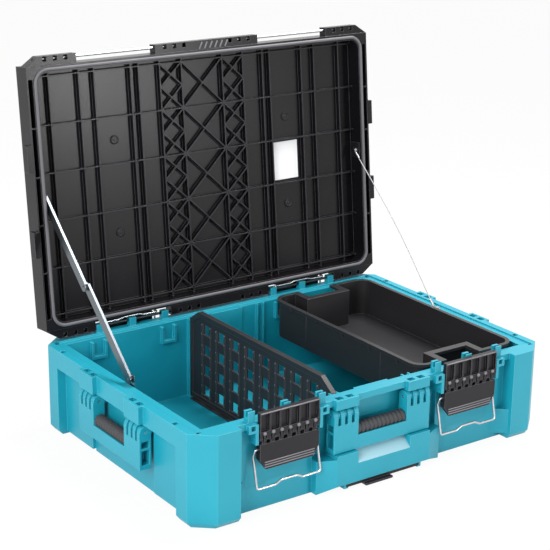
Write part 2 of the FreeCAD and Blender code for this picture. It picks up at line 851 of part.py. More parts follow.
def handle(side):
    """A swinging handle with its two pins and its ribbed grip, drawn about its pin line."""
    place = pin_place(side)
    half = "handle_width / 2"
    inside = f"({half} - handle_arm_width)"
    thick = ("-handle_out", "handle_in")
    solids = [box(both(half), thick, ("-handle_drop", "-handle_drop + handle_bar_height"))]
    hollows = [cylinder("x", "grip_radius + grip_gap", both(inside), (0, "-grip_drop"))]
    low = "-handle_drop + 2 * handle_skin"
    high = f"{low} + handle_low_window + handle_skin"
    windows = ((low, f"{low} + handle_low_window"), (high, f"{high} + handle_high_window"))
    for sx in SIDES:
        solids += [box(arm_ends(sx), thick, ("-handle_drop", 0))]
        solids += [cylinder("x", "handle_knuckle_radius", arm_ends(sx), (0, 0))]
        for window in windows:
            reach = span(sx, f"{half} - handle_window_depth", f"{half} + {OVER}")
            hollows.append(box(reach, ("-handle_out + handle_skin", "handle_in - handle_skin"), window))
        hollows.append(cylinder("x", "handle_pin_radius + pin_fit", arm_ends(sx), (0, 0)))
    slot_y = (f"-handle_out - {OVER}", f"handle_in + {OVER}")
    for middle in slot_middles():
        slot_z = ("-handle_slot_depth", f"handle_knuckle_radius + {OVER}")
        hollows.append(box(about(middle, "handle_slot_width"), slot_y, slot_z))
    node(cut(fuse(solids, "handle_blocks"), hollows, f"{side}_frame"), f"{side}_handle", place)
    pins = [cylinder("x", "handle_pin_radius", arm_ends(sx), (0, 0)) for sx in SIDES]
    node(fuse(pins, f"{side}_pins"), f"{side}_handle_pins", place)
    node(grip(inside), f"{side}_grip", place)


def grip(inside):
    """A rubber sleeve with rings cut round it."""
    sleeve = cylinder("x", "grip_radius", both(f"{inside} - grip_gap"), (0, "-grip_drop"))
    pitch = mm("grip_rib") + mm("grip_groove")
    reach = mm("handle_width") / 2 - mm("handle_arm_width") - mm("grip_gap")
    count = int((reach - mm("grip_rib")) / pitch)
    rings = []
    for k in range(-count, count + 1):
        across = about(f"{k} * (grip_rib + grip_groove)", "grip_groove")
        outer = cylinder("x", f"grip_radius + {OVER}", across, (0, "-grip_drop"))
        core = cylinder("x", "grip_radius - grip_groove_depth", across, (0, "-grip_drop"))
        rings.append(cut(outer, [core], "ring"))
    return cut(sleeve, rings, "grip")


def latch(side, sx):
    """One front latch: fixed clasp, lever, pin and wire bail."""
    middle = f"{sx} * {LATCH_X}"
    low, high = about(middle, "latch_width")
    pitch = f"latch_width / {LATCH_FINGERS}"
    pin_at = (f"-{LATCH_Y}", "latch_pin_height")
    clasp_y = (f"-{LATCH_FRONT}", f"-{LIP_Y} - clasp_gap")
    clasp = [
        box((low, high), clasp_y, ("latch_pin_height", "clasp_top")),
        cylinder("x", "knuckle_radius", (low, high), pin_at),
    ]
    openings = [cylinder("x", "latch_pin_radius + pin_fit", (low, high), pin_at)]
    for k in range(CLASP_POCKETS):
        at = f"{low} + latch_width / {CLASP_POCKETS} * ({k} + 0.5)"
        across = about(at, f"latch_width / {CLASP_POCKETS} - clasp_rib")
        depth = (f"-{LATCH_FRONT} - {OVER}", f"-{LATCH_FRONT} + clasp_pocket_depth")
        openings.append(box(across, depth, ("clasp_pocket_bottom", "clasp_top - clasp_edge")))
    round_y = about(f"-{LATCH_Y}", "2 * knuckle_radius")
    room = (f"latch_pin_height - knuckle_radius - {OVER}", f"latch_pin_height + knuckle_radius + {OVER}")
    lever = []
    for k in range(LATCH_FINGERS):
        at = f"{low} + {pitch} * ({k} + 0.5)"
        clear = about(at, f"{pitch} / 2 + 2 * knuckle_gap")
        openings.append(box(clear, about(f"-{LATCH_Y}", f"2 * knuckle_radius + {4 * OVER}"), room))
        lever.append(box(about(at, f"{pitch} / 2"), round_y, (f"lever_top - {OVER}", "latch_pin_height")))
        lever.append(cylinder("x", "knuckle_radius", about(at, f"{pitch} / 2"), pin_at))
    node(cut(fuse(clasp, "clasp_blank"), openings, f"{side}_clasp"), f"{side}_latch_clasp")

    lever_y = (f"-{LATCH_FRONT}", f"-{LATCH_FRONT} + lever_thickness")
    lever.append(prism("y", lever_y, [
        (low, "lever_top"),
        (low, "lever_bottom + lever_cut_height"),
        (f"{low} + lever_cut_width", "lever_bottom"),
        (f"{high} - lever_cut_width", "lever_bottom"),
        (high, "lever_bottom + lever_cut_height"),
        (high, "lever_top"),
    ]))
    lever_back = f"-{LATCH_FRONT} + lever_thickness"
    relief = prism("x", (f"{low} - {OVER}", f"{high} + {OVER}"), [
        (f"{lever_back} - lever_back_cut", f"lever_bottom - {OVER}"),
        (f"{lever_back} + {OVER}", f"lever_bottom - {OVER}"),
        (f"{lever_back} + {OVER}", "lever_bottom + lever_cut_height"),
        (lever_back, "lever_bottom + lever_cut_height"),
    ])
    pivot_at = (f"-{HALF_Y} + bail_pivot_inset", "bail_pivot_height")
    sockets = [cylinder("x", "bail_radius + pin_fit", ends, pivot_at) for ends in (
        (low, f"{low} + bail_socket"), (f"{high} - bail_socket", high))]
    bore = cylinder("x", "latch_pin_radius + pin_fit", (low, high), pin_at)
    node(cut(fuse(lever, "lever_blank"), [relief, bore] + sockets, f"{side}_lever"), f"{side}_latch_lever")

    ear = "(latch_width / 2 + ear_gap + ear_thickness)"
    node(cylinder("x", "latch_pin_radius", about(middle, f"2 * {ear}"), pin_at), f"{side}_latch_pin")
    shape_node(bail_shape(sx), f"{side}_latch_bail")


def bail_shape(sx):
    """A hanging wire loop: two bent legs and a foot with a joggle in its middle."""
    middle = sx * mm("latch_spacing") / 2
    half = mm("bail_width") / 2
    inside = mm("latch_width") / 2 - mm("bail_socket") + mm("pin_fit")
    back = -mm("case_depth") / 2
    pivot = (back + mm("bail_pivot_inset"), mm("bail_pivot_height"))
    elbow = (back + mm("bail_elbow_inset"), mm("bail_elbow_height"))
    foot = (back + mm("bail_foot_inset"), mm("bail_foot_height"))
    raised = (foot[0], foot[1] + mm("joggle_rise"))
    wide = mm("joggle_width") / 2 + mm("joggle_run")
    half_run = [(inside, pivot), (half, pivot), (half, elbow), (half, foot), (wide, foot)]
    half_run.append((mm("joggle_width") / 2, raised))
    points = [(middle - x, *place) for x, place in half_run]
    points += [(middle + x, *place) for x, place in reversed(half_run)]
    return bent_wire(points, mm("bail_radius"), mm("bail_bend") / 2 + mm("bail_radius") / 2)[0]


def hinge_wire(side, sx):
    """A fixed rear wire that keeps a lid rod in its saddles: over the rod, and down into two ears."""
    middle = sx * mm("latch_spacing") / 2
    half = mm("hinge_wire_width") / 2
    line = hinge_line()
    ear = mm("latch_width") / 2 + mm("ear_gap") + mm("ear_thickness")
    socket = (mm("case_depth") / 2 - mm("latch_pin_inset"), mm("latch_pin_height"))
    over = (line.y, line.z + mm("rod_radius") + mm("bail_radius") + mm("hinge_wire_gap"))
    out = (line.y + mm("hinge_wire_out"), over[1])
    raised = (line.y, over[1] + mm("hinge_joggle_rise"))
    wide = mm("joggle_width") / 2 + mm("joggle_run")
    half_run = [(ear, socket), (half, socket), (half, out), (half, over), (wide, over)]
    half_run.append((mm("joggle_width") / 2, raised))
    points = [(middle - x, *place) for x, place in half_run]
    points += [(middle + x, *place) for x, place in reversed(half_run)]
    bend = mm("bail_bend") / 2 + mm("bail_radius") / 2
    shape_node(bent_wire(points, mm("bail_radius"), bend)[0], f"{side}_hinge_wire")


# Middle of each row of cells under the lid
ROW_PITCH = f"(2 * ({LID_Y} - lid_skirt - carrier_width / 2 - lid_row_margin) / {LID_ROWS})"
LID_ROW_MIDDLES = [f"({k} - ({LID_ROWS} - 1) / 2) * {ROW_PITCH}" for k in range(LID_ROWS)]


def lid_ribs():
    """Ribs under the lid's panel: long ribs, rows and the crossed lattice in the middle."""
    depth = (f"{PANEL_Z} - lid_rib_height", PANEL_Z)
    inner_x = f"({CARRIER_X} - carrier_width / 2)"
    inner_y = f"({LID_Y} - lid_skirt - carrier_width / 2)"
    ribs = []
    longs = (
        f"{LID_X} - edge_rib_inset", "channel_far", "channel_near", "beam_far", "beam_near",
        "lattice_outer", "lattice_inner",
    )
    for sx in SIDES:
        for at in longs:
            ribs.append(box(about(flip(sx, at), "lid_rib"), both(inner_y), depth))
    for k in range(LID_ROWS + 1):
        row_y = about(f"({k} - {LID_ROWS} / 2) * {ROW_PITCH}", "lid_rib")
        ribs.append(box(both(inner_x), row_y, depth))
    crossing = []
    for row in LID_ROW_MIDDLES:
        crossing += crossed(0, row, "2 * lattice_inner", ROW_PITCH, depth)
        for sx in SIDES:
            for half in SIDES:
                middle_x = flip(sx, "(lattice_inner + lattice_outer) / 2")
                middle_y = f"{row} + {half} * {ROW_PITCH} / 4"
                cell = ("lattice_outer - lattice_inner", f"{ROW_PITCH} / 2")
                crossing += crossed(middle_x, middle_y, *cell, depth)
    return ribs + crossing


def crossed(x, y, width, length, depth):
    """Two thin ribs that cross from corner to corner of a cell."""
    bars = []
    for sign in SIDES:
        bar = doc.addObject("Part::Box", "brace")
        long = f"sqrt(({width}) ^ 2 + ({length}) ^ 2)"
        angle = f"{sign} * atan(({length}) / ({width}))"
        bind(bar, "Length", long)
        bind(bar, "Width", "lattice_rib")
        bind(bar, "Height", f"({depth[1]}) - ({depth[0]})")
        bar.Placement = Placement(Vector(), Rotation(Vector(0, 0, 1), 1))
        bind(bar, "Placement.Rotation.Angle", angle)
        bind(bar, "Placement.Base.x", f"{x} - ({width}) / 2 + {sign} * lattice_rib / 2 * sin(abs({angle}))")
        bind(bar, "Placement.Base.y", f"{y} - {sign} * ({length}) / 2 - lattice_rib / 2 * cos({angle})")
        bind(bar, "Placement.Base.z", depth[0])
        bars.append(bar)
    return bars


def seal_ring(grow, z):
    """A rounded ring on the seal's line, wider than the seal by grow on each side."""
    line_x = f"({CARRIER_X} - carrier_width / 2)"
    line_y = f"({LID_Y} - lid_skirt - carrier_width / 2 + 1)"
    half = f"(seal_width / 2 + {grow})"
    wide, deep = both(f"{line_x} + {half}"), both(f"{line_y} + {half}")
    outer = rounded_block(wide, deep, z, f"seal_corner + {half}")
    past = (f"({z[0]}) - {OVER}", f"({z[1]}) + {OVER}")
    wide, deep = both(f"{line_x} - {half}"), both(f"{line_y} - {half}")
    inner = rounded_block(wide, deep, past, f"seal_corner - {half}")
    return cut(outer, [inner], "ring")


def lid_strips():
    """Strips along the lid's front and rear edges that hold the rods, and windows on the rods."""
    solids, windows = [], []
    bottom = f"{PART_Z} + strip_lift"
    top = f"{PART_Z} + strip_height"
    edge = f"({LID_Y} - lid_skirt)"
    face = f"({LID_Y} + strip_depth)"
    reach = "(rod_radius + strip_wall / 2)"
    for sy in SIDES:
        depth = span(sy, edge, face)
        window_y = span(sy, f"{ROD_Y} - {reach}", f"{ROD_Y} + {reach}")
        window_z = (f"{bottom} - {OVER}", f"{ROD_Z} + {reach}")
        solids.append(box(both("centre_strip_width / 2"), depth, (bottom, top)))
        for sx in SIDES:
            plan = [
                (STRIP_NEAR, edge), (STRIP_NEAR, face), (STRIP_FAR, face),
                (LID_X, LID_Y), (LID_X, edge),
            ]
            solids.append(prism("z", (bottom, top), [(flip(sx, x), flip(sy, y)) for x, y in plan]))
            for end, inward in (("centre_strip_width / 2", -1), (STRIP_NEAR, 1)):
                for k in (1, 2, 3):
                    middle = flip(sx, f"{end} + {inward * k} * rod_window_pitch")
                    windows.append(box(about(middle, "rod_window"), window_y, window_z))
    return solids, windows


def lid_shell():
    """The moulded lid, drawn closed: panel, skirt, seal carrier, ribs, rod strips and pads."""
    place = lid_place()
    top = f"{PART_Z} + lid_height"
    solids = [box(both(LID_X), both(LID_Y), (PART_Z, top))]
    strips, hollows = lid_strips()
    solids += strips
    cavity_x = f"{CARRIER_X} - carrier_width"
    cavity_y = f"{LID_Y} - lid_skirt - carrier_width"
    below = f"{PART_Z} - {OVER}"
    hollows.append(rounded_block(both(cavity_x), both(cavity_y), (below, PANEL_Z), "carrier_corner"))
    hollows.append(seal_ring(0, (below, f"{PART_Z} + seal_groove")))
    for sx in SIDES:
        channel_x = span(sx, CARRIER_X, f"{LID_X} - lid_skirt")
        for row in LID_ROW_MIDDLES:
            along = about(row, f"{ROW_PITCH} - lid_rib")
            hollows.append(box(channel_x, along, (below, PANEL_Z)))
        for sy in SIDES:
            pad_x = span(sx, f"{LID_X} - lid_skirt", f"{LID_X} + lid_pad_proud")
            pad_y = span(sy, "pad_near", "pad_near + pad_length")
            solids.append(box(pad_x, pad_y, (PART_Z, f"{PART_Z} + lid_pad_height")))
        for near, far in (("channel_near", "channel_far"), ("beam_near", "beam_far")):
            rail_y = both(f"{LID_ROWS} / 2 * {ROW_PITCH}")
            solids.append(box(span(sx, near, far), rail_y, (top, f"{top} + rail_height")))
    for sy in SIDES:
        bore = "rod_radius + rod_fit"
        hollows.append(cylinder("x", bore, both(f"{LID_X} + {OVER}"), (flip(sy, ROD_Y), ROD_Z)))
    shell = cut(fuse(solids, "lid_blocks"), hollows, "lid_hollowed")
    node(fuse([shell] + lid_ribs(), "lid"), "lid_shell", place)
    node(seal_ring("-seal_fit", (f"{PART_Z} - seal_proud", f"{PART_Z} + seal_groove")), "lid_seal", place)
    for name, sy in (("front", -1), ("rear", 1)):
        rods = []
        for sx in SIDES:
            ends = span(sx, "centre_strip_width / 4", STRIP_FAR)
            rods.append(cylinder("x", "rod_radius", ends, (flip(sy, ROD_Y), ROD_Z)))
        node(fuse(rods, f"{name}_rods"), f"lid_{name}_rods", place)
    near, far, end = "label_near", "label_near + label_width", "(label_length / 2)"
    label = [(near, f"-{end}"), (far, f"-{end}"), (far, end), (near, end)]
    node(prism("z", (f"{PANEL_Z} - label_thickness", PANEL_Z), label), "lid_label", place)


def stay_points():
    """The folding stay's case pivot, its lid pivot with the lid open, and one link's length."""
    case_pivot = Vector(0, -mm("stay_y"), mm("stay_case_height"))
    lid_pivot = lid_place().multVec(Vector(0, -mm("stay_y"), mm("stay_lid_height")))
    return case_pivot, lid_pivot, (lid_pivot - case_pivot).Length / 2


def channel_link(length, name, relief="0"):
    """A folded channel with round-ended web, drawn from its pivot along Z, its web on the left.

    One flange stops short of the far end by the relief, where the other link's rivet passes.
    """
    half = "stay_width / 2"
    web_x = (0, "stay_sheet")
    ends = (0, f"{length}")
    solids = [box(web_x, both(half), ends)]
    solids += [cylinder("x", half, web_x, (0, z)) for z in ends]
    for sy, far in ((-1, f"{length} - {relief}"), (1, f"{length}")):
        solids.append(box((0, "stay_channel"), span(sy, f"{half} - stay_sheet", half), (0, far)))
    holes = [cylinder("x", "stay_pin_radius + stay_pin_fit", web_x, (0, z)) for z in ends]
    return cut(fuse(solids, "channel"), holes, name)


def lid_stay():
    """The left lid stay: two folded links, their brackets and pins."""
    case_pivot, lid_pivot, length = stay_points()
    on = lid_pivot - case_pivot
    tilt = -math.degrees(math.atan2(on.y, on.z))
    carrier_x = carrier_face()
    upper_x = -carrier_x + mm("stay_plate_thickness") + mm("stay_lid_gap")
    lower_x = upper_x + mm("stay_channel") + mm("stay_link_gap")
    plate_x = lower_x + mm("stay_channel") + mm("stay_link_gap")
    up = Rotation(Vector(1, 0, 0), tilt)
    down = Rotation(Vector(1, 0, 0), tilt + 180)
    upper_place = Placement(Vector(upper_x, lid_pivot.y, lid_pivot.z), down)
    lower_place = Placement(Vector(lower_x, case_pivot.y, case_pivot.z), up)
    node(channel_link(length, "upper_link", "stay_relief"), "stay_upper_link", upper_place)
    node(channel_link(length, "lower_link"), "stay_lower_link", lower_place)

    elbow = (case_pivot + lid_pivot) * 0.5
    shank = mm("stay_channel") / 2 + mm("stay_sheet")
    start = Vector(lower_x + mm("stay_sheet") - shank, elbow.y, elbow.z)
    rivet = Part.makeCylinder(mm("stay_pin_radius"), shank, start, Vector(1, 0, 0))
    head_at = start + Vector(shank, 0, 0)
    rivet = rivet.fuse(Part.makeCylinder(mm("stay_head_radius"), mm("stay_head"), head_at, Vector(1, 0, 0)))
    shape_node(rivet.removeSplitter(), "stay_elbow_rivet")

    lid_pin = Vector(-carrier_x, -mm("stay_y"), mm("stay_lid_height"))
    plate = plate_about(lid_pin, mm("stay_plate_height") / 2, mm("stay_plate_height") / 2)
    through = upper_x + mm("stay_sheet") + mm("stay_pin_fit") - lid_pin.x
    pin = Part.makeCylinder(mm("stay_pin_radius"), through, lid_pin, Vector(1, 0, 0))
    head_at = lid_pin + Vector(through, 0, 0)
    head = Part.makeCylinder(mm("stay_head_radius"), mm("stay_head"), head_at, Vector(1, 0, 0))
    shape_node(plate.fuse(pin).fuse(head).removeSplitter(), "stay_lid_bracket", lid_place())

    case_pin = Vector(plate_x, -mm("stay_y"), mm("stay_case_height"))
    plate = plate_about(case_pin, mm("stay_case_plate_drop"), mm("stay_plate_height") / 2)
    pin = Part.makeCylinder(mm("stay_pin_radius"), plate_x - lower_x, case_pin, Vector(-1, 0, 0))
    wall_x = mm("side_rim_width") - mm("case_width") / 2
    low = mm("stay_case_height") - mm("stay_case_plate_drop")
    corner = Vector(wall_x, -mm("stay_y") - mm("stay_plate_width") / 2, low)
    boss = Part.makeBox(plate_x - wall_x, mm("stay_plate_width"), mm("stay_boss"), corner)
    shape_node(plate.fuse(pin).fuse(boss).removeSplitter(), "stay_case_bracket")


def carrier_face():
    """Distance from the centre to the inner face of the lid's seal carrier at its sides."""
    lid_half = mm("case_width") / 2 - mm("lid_side_step")
    return lid_half - mm("lid_skirt") - mm("lid_channel") - mm("carrier_width")


def plate_about(pin, below, above):
    """A thin upright plate on the inner side of a stay's pin."""
    corner = pin - Vector(0, mm("stay_plate_width") / 2, below)
    return Part.makeBox(mm("stay_plate_thickness"), mm("stay_plate_width"), below + above, corner)


def lanyard():
    """The right-hand wire lanyard with its crimped ends and screws."""
    carrier_x = carrier_face()
    wire_x = carrier_x - mm("lanyard_wall_gap")
    foot = Vector(
        mm("case_width") / 2 - mm("side_rim_width") + mm("lanyard_case_inset"),
        mm("lanyard_case_y"), mm("lanyard_case_height"),
    )
    thick = mm("eyelet_thickness")
    low = foot + Vector(0, mm("tongue_length"), thick + mm("ferrule_radius"))
    eye = lid_place().multVec(Vector(wire_x, -mm("lanyard_y"), mm("lanyard_lid_height")))
    along = (eye - low).normalize()
    bore = mm("screw_radius") + mm("screw_fit")
    up, across = Vector(0, 0, 1), Vector(1, 0, 0)

    ring = Part.makeCylinder(mm("eyelet_radius"), thick, foot)
    wide, reach = mm("tongue_width"), mm("tongue_length") + thick
    tongue = Part.makeBox(wide, reach, thick, foot - across * (wide / 2))
    crimp = Part.makeCylinder(mm("ferrule_radius"), mm("ferrule_length"), low, along)
    rise = mm("ferrule_radius") + thick
    rest = Part.makeBox(wide / 2, thick, rise, low - Vector(wide / 4, 0, rise))
    hole = Part.makeCylinder(bore, thick, foot)
    shape_node(ring.fuse([tongue, crimp, rest]).cut(hole).removeSplitter(), "lanyard_case_end")
    head = Part.makeCylinder(mm("screw_head_radius"), mm("screw_head"), foot + up * thick)
    depth = mm("screw_length")
    shank = Part.makeCylinder(mm("screw_radius"), depth + thick, foot - up * depth)
    shape_node(head.fuse(shank).removeSplitter(), "lanyard_case_screw")

    ring = Part.makeCylinder(mm("eyelet_radius"), thick, eye - across * (thick / 2), across)
    crimp_from = mm("ferrule_start")
    crimp_top = eye - along * crimp_from
    crimp = Part.makeCylinder(mm("ferrule_radius"), mm("ferrule_length"), crimp_top, along * -1)
    hole = Part.makeCylinder(bore, thick, eye - across * (thick / 2), across)
    shape_node(ring.fuse(crimp).cut(hole).removeSplitter(), "lanyard_lid_end")
    face = eye - across * (thick / 2)
    head = Part.makeCylinder(mm("screw_head_radius"), mm("screw_head"), face, across * -1)
    shank = Part.makeCylinder(mm("screw_radius"), carrier_x - face.x, face, across)
    collar_at = eye + across * (thick / 2)
    collar = Part.makeCylinder(mm("screw_head_radius"), carrier_x - collar_at.x, collar_at, across)
    shape_node(head.fuse([shank, collar]).removeSplitter(), "lanyard_lid_screw")

    first = low + along * mm("ferrule_length")
    last = eye - along * (crimp_from + mm("ferrule_length"))
    side = along.cross(Vector(1, 0, 0)).normalize()
    lead = along * mm("lanyard_lead")
    points = [first]
    for k in range(LANYARD_RUNS + 1):
        share = k / LANYARD_RUNS
        bow = mm("lanyard_bow") * math.sin(math.pi * share)
        points.append(first + lead + (last - first - lead * 2) * share - side * bow)
    points.append(last)
    tube, length = bent_wire(points, mm("lanyard_radius"), None)
    expected = math.pi * mm("lanyard_radius") ** 2 * length
    print(f"lanyard length {length:.1f} mm, volume {tube.Volume:.1f}, section times length {expected:.1f}")
    shape_node(tube, "lanyard_wire")


def divider():
    """The perforated divider: panel, frame, hole grid, upright ribs and foot."""
    end = f"({INNER_Y} - divider_end_gap)"
    bevel = f"({end} - divider_bevel_length)"
    bottom = "(floor_thickness + divider_foot_gap)"
    middle = "-divider_at"

    def profile(inset):
        side, low = f"({end} - {inset})", f"({bottom} + {inset})"
        shoulder, top = f"(divider_shoulder - {inset} / 2)", f"(divider_top - {inset})"
        shelf = f"({bevel} - {inset} / 2)"
        return [
            (f"-{side}", low), (side, low), (side, shoulder),
            (shelf, top), (f"-{shelf}", top), (f"-{side}", shoulder),
        ]

    frame_x = about(middle, "divider_frame")
    past_x = about(middle, f"divider_frame + 2 * {OVER}")
    frame = cut(prism("x", frame_x, profile(0)), [prism("x", past_x, profile("divider_frame"))], "frame")
    foot_z = (bottom, f"{bottom} + divider_foot_height")
    foot = box(about(middle, "divider_foot_width"), both(f"{end} - divider_foot_inset"), foot_z)
    solids = [prism("x", about(middle, "divider_thickness"), profile(0)), frame, foot]
    holes = []
    rib_x = about(middle, "divider_thickness + 2 * divider_rib_proud")
    rib_z = (bottom, "divider_first_row + divider_hole_height / 2")
    for column in range(DIVIDER_COLUMNS):
        at = f"({column} - ({DIVIDER_COLUMNS} - 1) / 2) * divider_hole_pitch"
        for s in SIDES:
            solids.append(box(rib_x, about(f"{at} + {s} * divider_rib_offset", "divider_rib"), rib_z))
        for row in range(DIVIDER_ROWS):
            rise = about(f"divider_first_row - {row} * divider_row_pitch", "divider_hole_height")
            holes.append(box(rib_x, about(at, "divider_hole_width"), rise))
    node(cut(fuse(solids, "divider_blocks"), holes, "divider"), "divider")


def tray():
    """The lift-out tray: rounded bin with a rolled rim, a grip notch in each end and four lugs."""
    end = f"({INNER_Y} - tray_end_gap)"
    lip = f"({end} + tray_rim)"
    body_z = ("tray_bottom", "tray_top")
    rim_z = ("tray_top - tray_rim_height", "tray_top")
    past_z = (f"tray_bottom - {OVER}", f"tray_top + {OVER}")
    outer = rounded_block((TRAY_NEAR, TRAY_FAR), both(end), body_z, "tray_corner")
    rim_x = (f"{TRAY_NEAR} - tray_rim", f"{TRAY_FAR} + tray_rim")
    rim = rounded_block(rim_x, both(lip), rim_z, "tray_corner + tray_rim")
    inside_x = (f"{TRAY_NEAR} + tray_wall", f"{TRAY_FAR} - tray_wall")
    inside_z = ("tray_bottom + tray_wall", past_z[1])
    inside = rounded_block(inside_x, both(f"{end} - tray_wall"), inside_z, "tray_corner - tray_wall")
    notch_low = f"{TRAY_NEAR} + tray_notch_start"
    notch_high = f"{notch_low} + tray_notch_width"
    notch_x = (notch_low, notch_high)
    wall_x = (f"{notch_low} - tray_wall", f"{notch_high} + tray_wall")
    open_x = (f"{notch_low} + tray_grip", f"{notch_high} - tray_grip")
    lug_z = ("hook_seat", "hook_seat + tray_lug_height")
    notches, openings, walls, bars, lugs = [], [], [], [], []
    for sy in SIDES:
        wall_from = f"{end} - tray_notch_depth - tray_wall"
        notches.append(box(notch_x, span(sy, f"{end} - tray_notch_depth", f"{lip} + {OVER}"), past_z))
        walls.append(box(wall_x, span(sy, wall_from, end), body_z))
        bars.append(box(wall_x, span(sy, wall_from, lip), rim_z))
        open_from = f"{end} - tray_notch_depth + tray_grip"
        openings.append(box(open_x, span(sy, open_from, f"{lip} + {OVER}"), past_z))
        lug_y = span(sy, f"{end} - tray_wall", f"{INNER_Y} - tray_lug_gap")
        for at in HOOKS_AT:
            lugs.append(box(about(at, "hook_gap - 2 * tray_lug_gap"), lug_y, lug_z))
    room = cut(inside, walls, "tray_room")
    shell = cut(fuse([outer, rim], "tray_blank"), [room], "tray_shell")
    notched = cut(shell, notches, "tray_notched")
    loops = cut(fuse(bars, "loop_blanks"), openings, "tray_loops")
    node(fuse([notched, loops] + lugs, "tray"), "lift_out_tray")


def base_slide():
    """The black stacking-lock slide under the centre block, with its finger tab."""
    back = f"-{HALF_Y} + slide_back"
    plate_z = ("slide_bottom", "block_bottom - slide_gap")
    plate = box(both("slide_width / 2"), (f"{back} - slide_depth", back), plate_z)
    tab_x = about("-slide_tab_offset", "slide_tab_width")
    tab_z = ("slide_tab_bottom", "slide_tab_bottom + slide_tab_thickness")
    tab = box(tab_x, (f"-{HALF_Y} - slide_tab_reach", f"{back} - slide_depth / 2"), tab_z)
    node(fuse([plate, tab], "slide"), "base_lock_slide")


case_body()
for name in HANDLES:
    handle(name)
for name, sign in (("left", -1), ("right", 1)):
    latch(name, sign)
    hinge_wire(name, sign)
lid_shell()
lid_stay()
lanyard()
divider()
tray()
base_slide()

doc.recompute()
for item in doc.Objects:
    if "Invalid" in item.State or "Error" in item.State:
        raise RuntimeError(f"{item.Name} ({item.Label}) did not build")
for item in NODES:
    if item.Shape.isNull() or not item.Shape.isValid():
        raise RuntimeError(f"{item.Label} has no valid shape")
os.makedirs("parts", exist_ok=True)
for item in NODES:
    item.Shape.exportStep(f"parts/{item.Label}.step")
    print(f"{item.Label}: {len(item.Shape.Solids)} solids, {item.Shape.Volume / 1000:.1f} cm3")
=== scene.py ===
"""Wide stackable tool case, open: materials, rubber and wire pieces, light and camera."""
import json
import math

import bpy
from mathutils import Matrix, Vector


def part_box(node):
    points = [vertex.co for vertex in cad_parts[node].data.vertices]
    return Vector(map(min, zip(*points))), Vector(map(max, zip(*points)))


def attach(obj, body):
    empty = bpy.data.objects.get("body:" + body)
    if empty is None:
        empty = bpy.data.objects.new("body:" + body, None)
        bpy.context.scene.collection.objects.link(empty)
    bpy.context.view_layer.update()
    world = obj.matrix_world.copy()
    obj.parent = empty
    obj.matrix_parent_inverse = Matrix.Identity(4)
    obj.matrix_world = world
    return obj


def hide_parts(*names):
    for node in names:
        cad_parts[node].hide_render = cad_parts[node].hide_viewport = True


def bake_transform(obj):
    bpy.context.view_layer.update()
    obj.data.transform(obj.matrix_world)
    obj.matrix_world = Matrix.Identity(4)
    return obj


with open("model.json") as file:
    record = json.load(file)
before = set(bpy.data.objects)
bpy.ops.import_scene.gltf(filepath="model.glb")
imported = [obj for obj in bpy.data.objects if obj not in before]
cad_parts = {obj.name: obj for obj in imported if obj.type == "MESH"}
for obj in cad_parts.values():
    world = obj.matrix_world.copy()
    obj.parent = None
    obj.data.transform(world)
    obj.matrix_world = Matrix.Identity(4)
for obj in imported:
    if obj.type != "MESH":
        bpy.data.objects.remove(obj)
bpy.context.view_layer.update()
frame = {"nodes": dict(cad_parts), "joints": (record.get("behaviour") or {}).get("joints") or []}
cad = frame["nodes"]
joints = {joint["name"]: joint for joint in frame["joints"]}
MM = 0.001

# Faces that meet at less than this angle are shaded as one smooth surface
SMOOTH_ANGLE = math.radians(40)
# Rays that a material's rounded edge takes
EDGE_RAYS = 6
# Size of the faint cloudy shading in moulded plastic, in millimetres
FLOW_MM = 90

# Photograph's camera: angles in degrees, lengths in metres, lens and sensor in millimetres
CAMERA_AZIMUTH = -35.45
CAMERA_ELEVATION = 18.13
CAMERA_ROLL = 0.8
CAMERA_DISTANCE = 2.6274
CAMERA_TARGET = Vector((-0.1872, -0.1970, 0.3999))
CAMERA_LENS = 100.2
CAMERA_SENSOR = 36


# Materials

def linear(colour):
    """An sRGB hex colour as linear red, green, blue and alpha."""
    parts = [int(colour[k:k + 2], 16) / 255 for k in (1, 3, 5)]
    return [c / 12.92 if c <= 0.04045 else ((c + 0.055) / 1.055) ** 2.4 for c in parts] + [1]


def add(tree, kind, inputs=None, **settings):
    """Adds a node: settings are its properties; inputs are numbers, colours or other nodes' outputs."""
    made = tree.nodes.new(kind)
    for name, value in settings.items():
        setattr(made, name, value)
    for name, value in (inputs or {}).items():
        if isinstance(value, bpy.types.NodeSocket):
            tree.links.new(value, made.inputs[name])
        else:
            made.inputs[name].default_value = value
    return made


def new_material(name):
    """An empty node material with its output."""
    material = bpy.data.materials.new(name)
    material.use_nodes = True
    tree = material.node_tree
    tree.nodes.clear()
    return material, tree, add(tree, "ShaderNodeOutputMaterial")


def pattern_scale(size_mm):
    """Texture scale at which one feature is about that many millimetres across."""
    return 1 / (size_mm * MM)


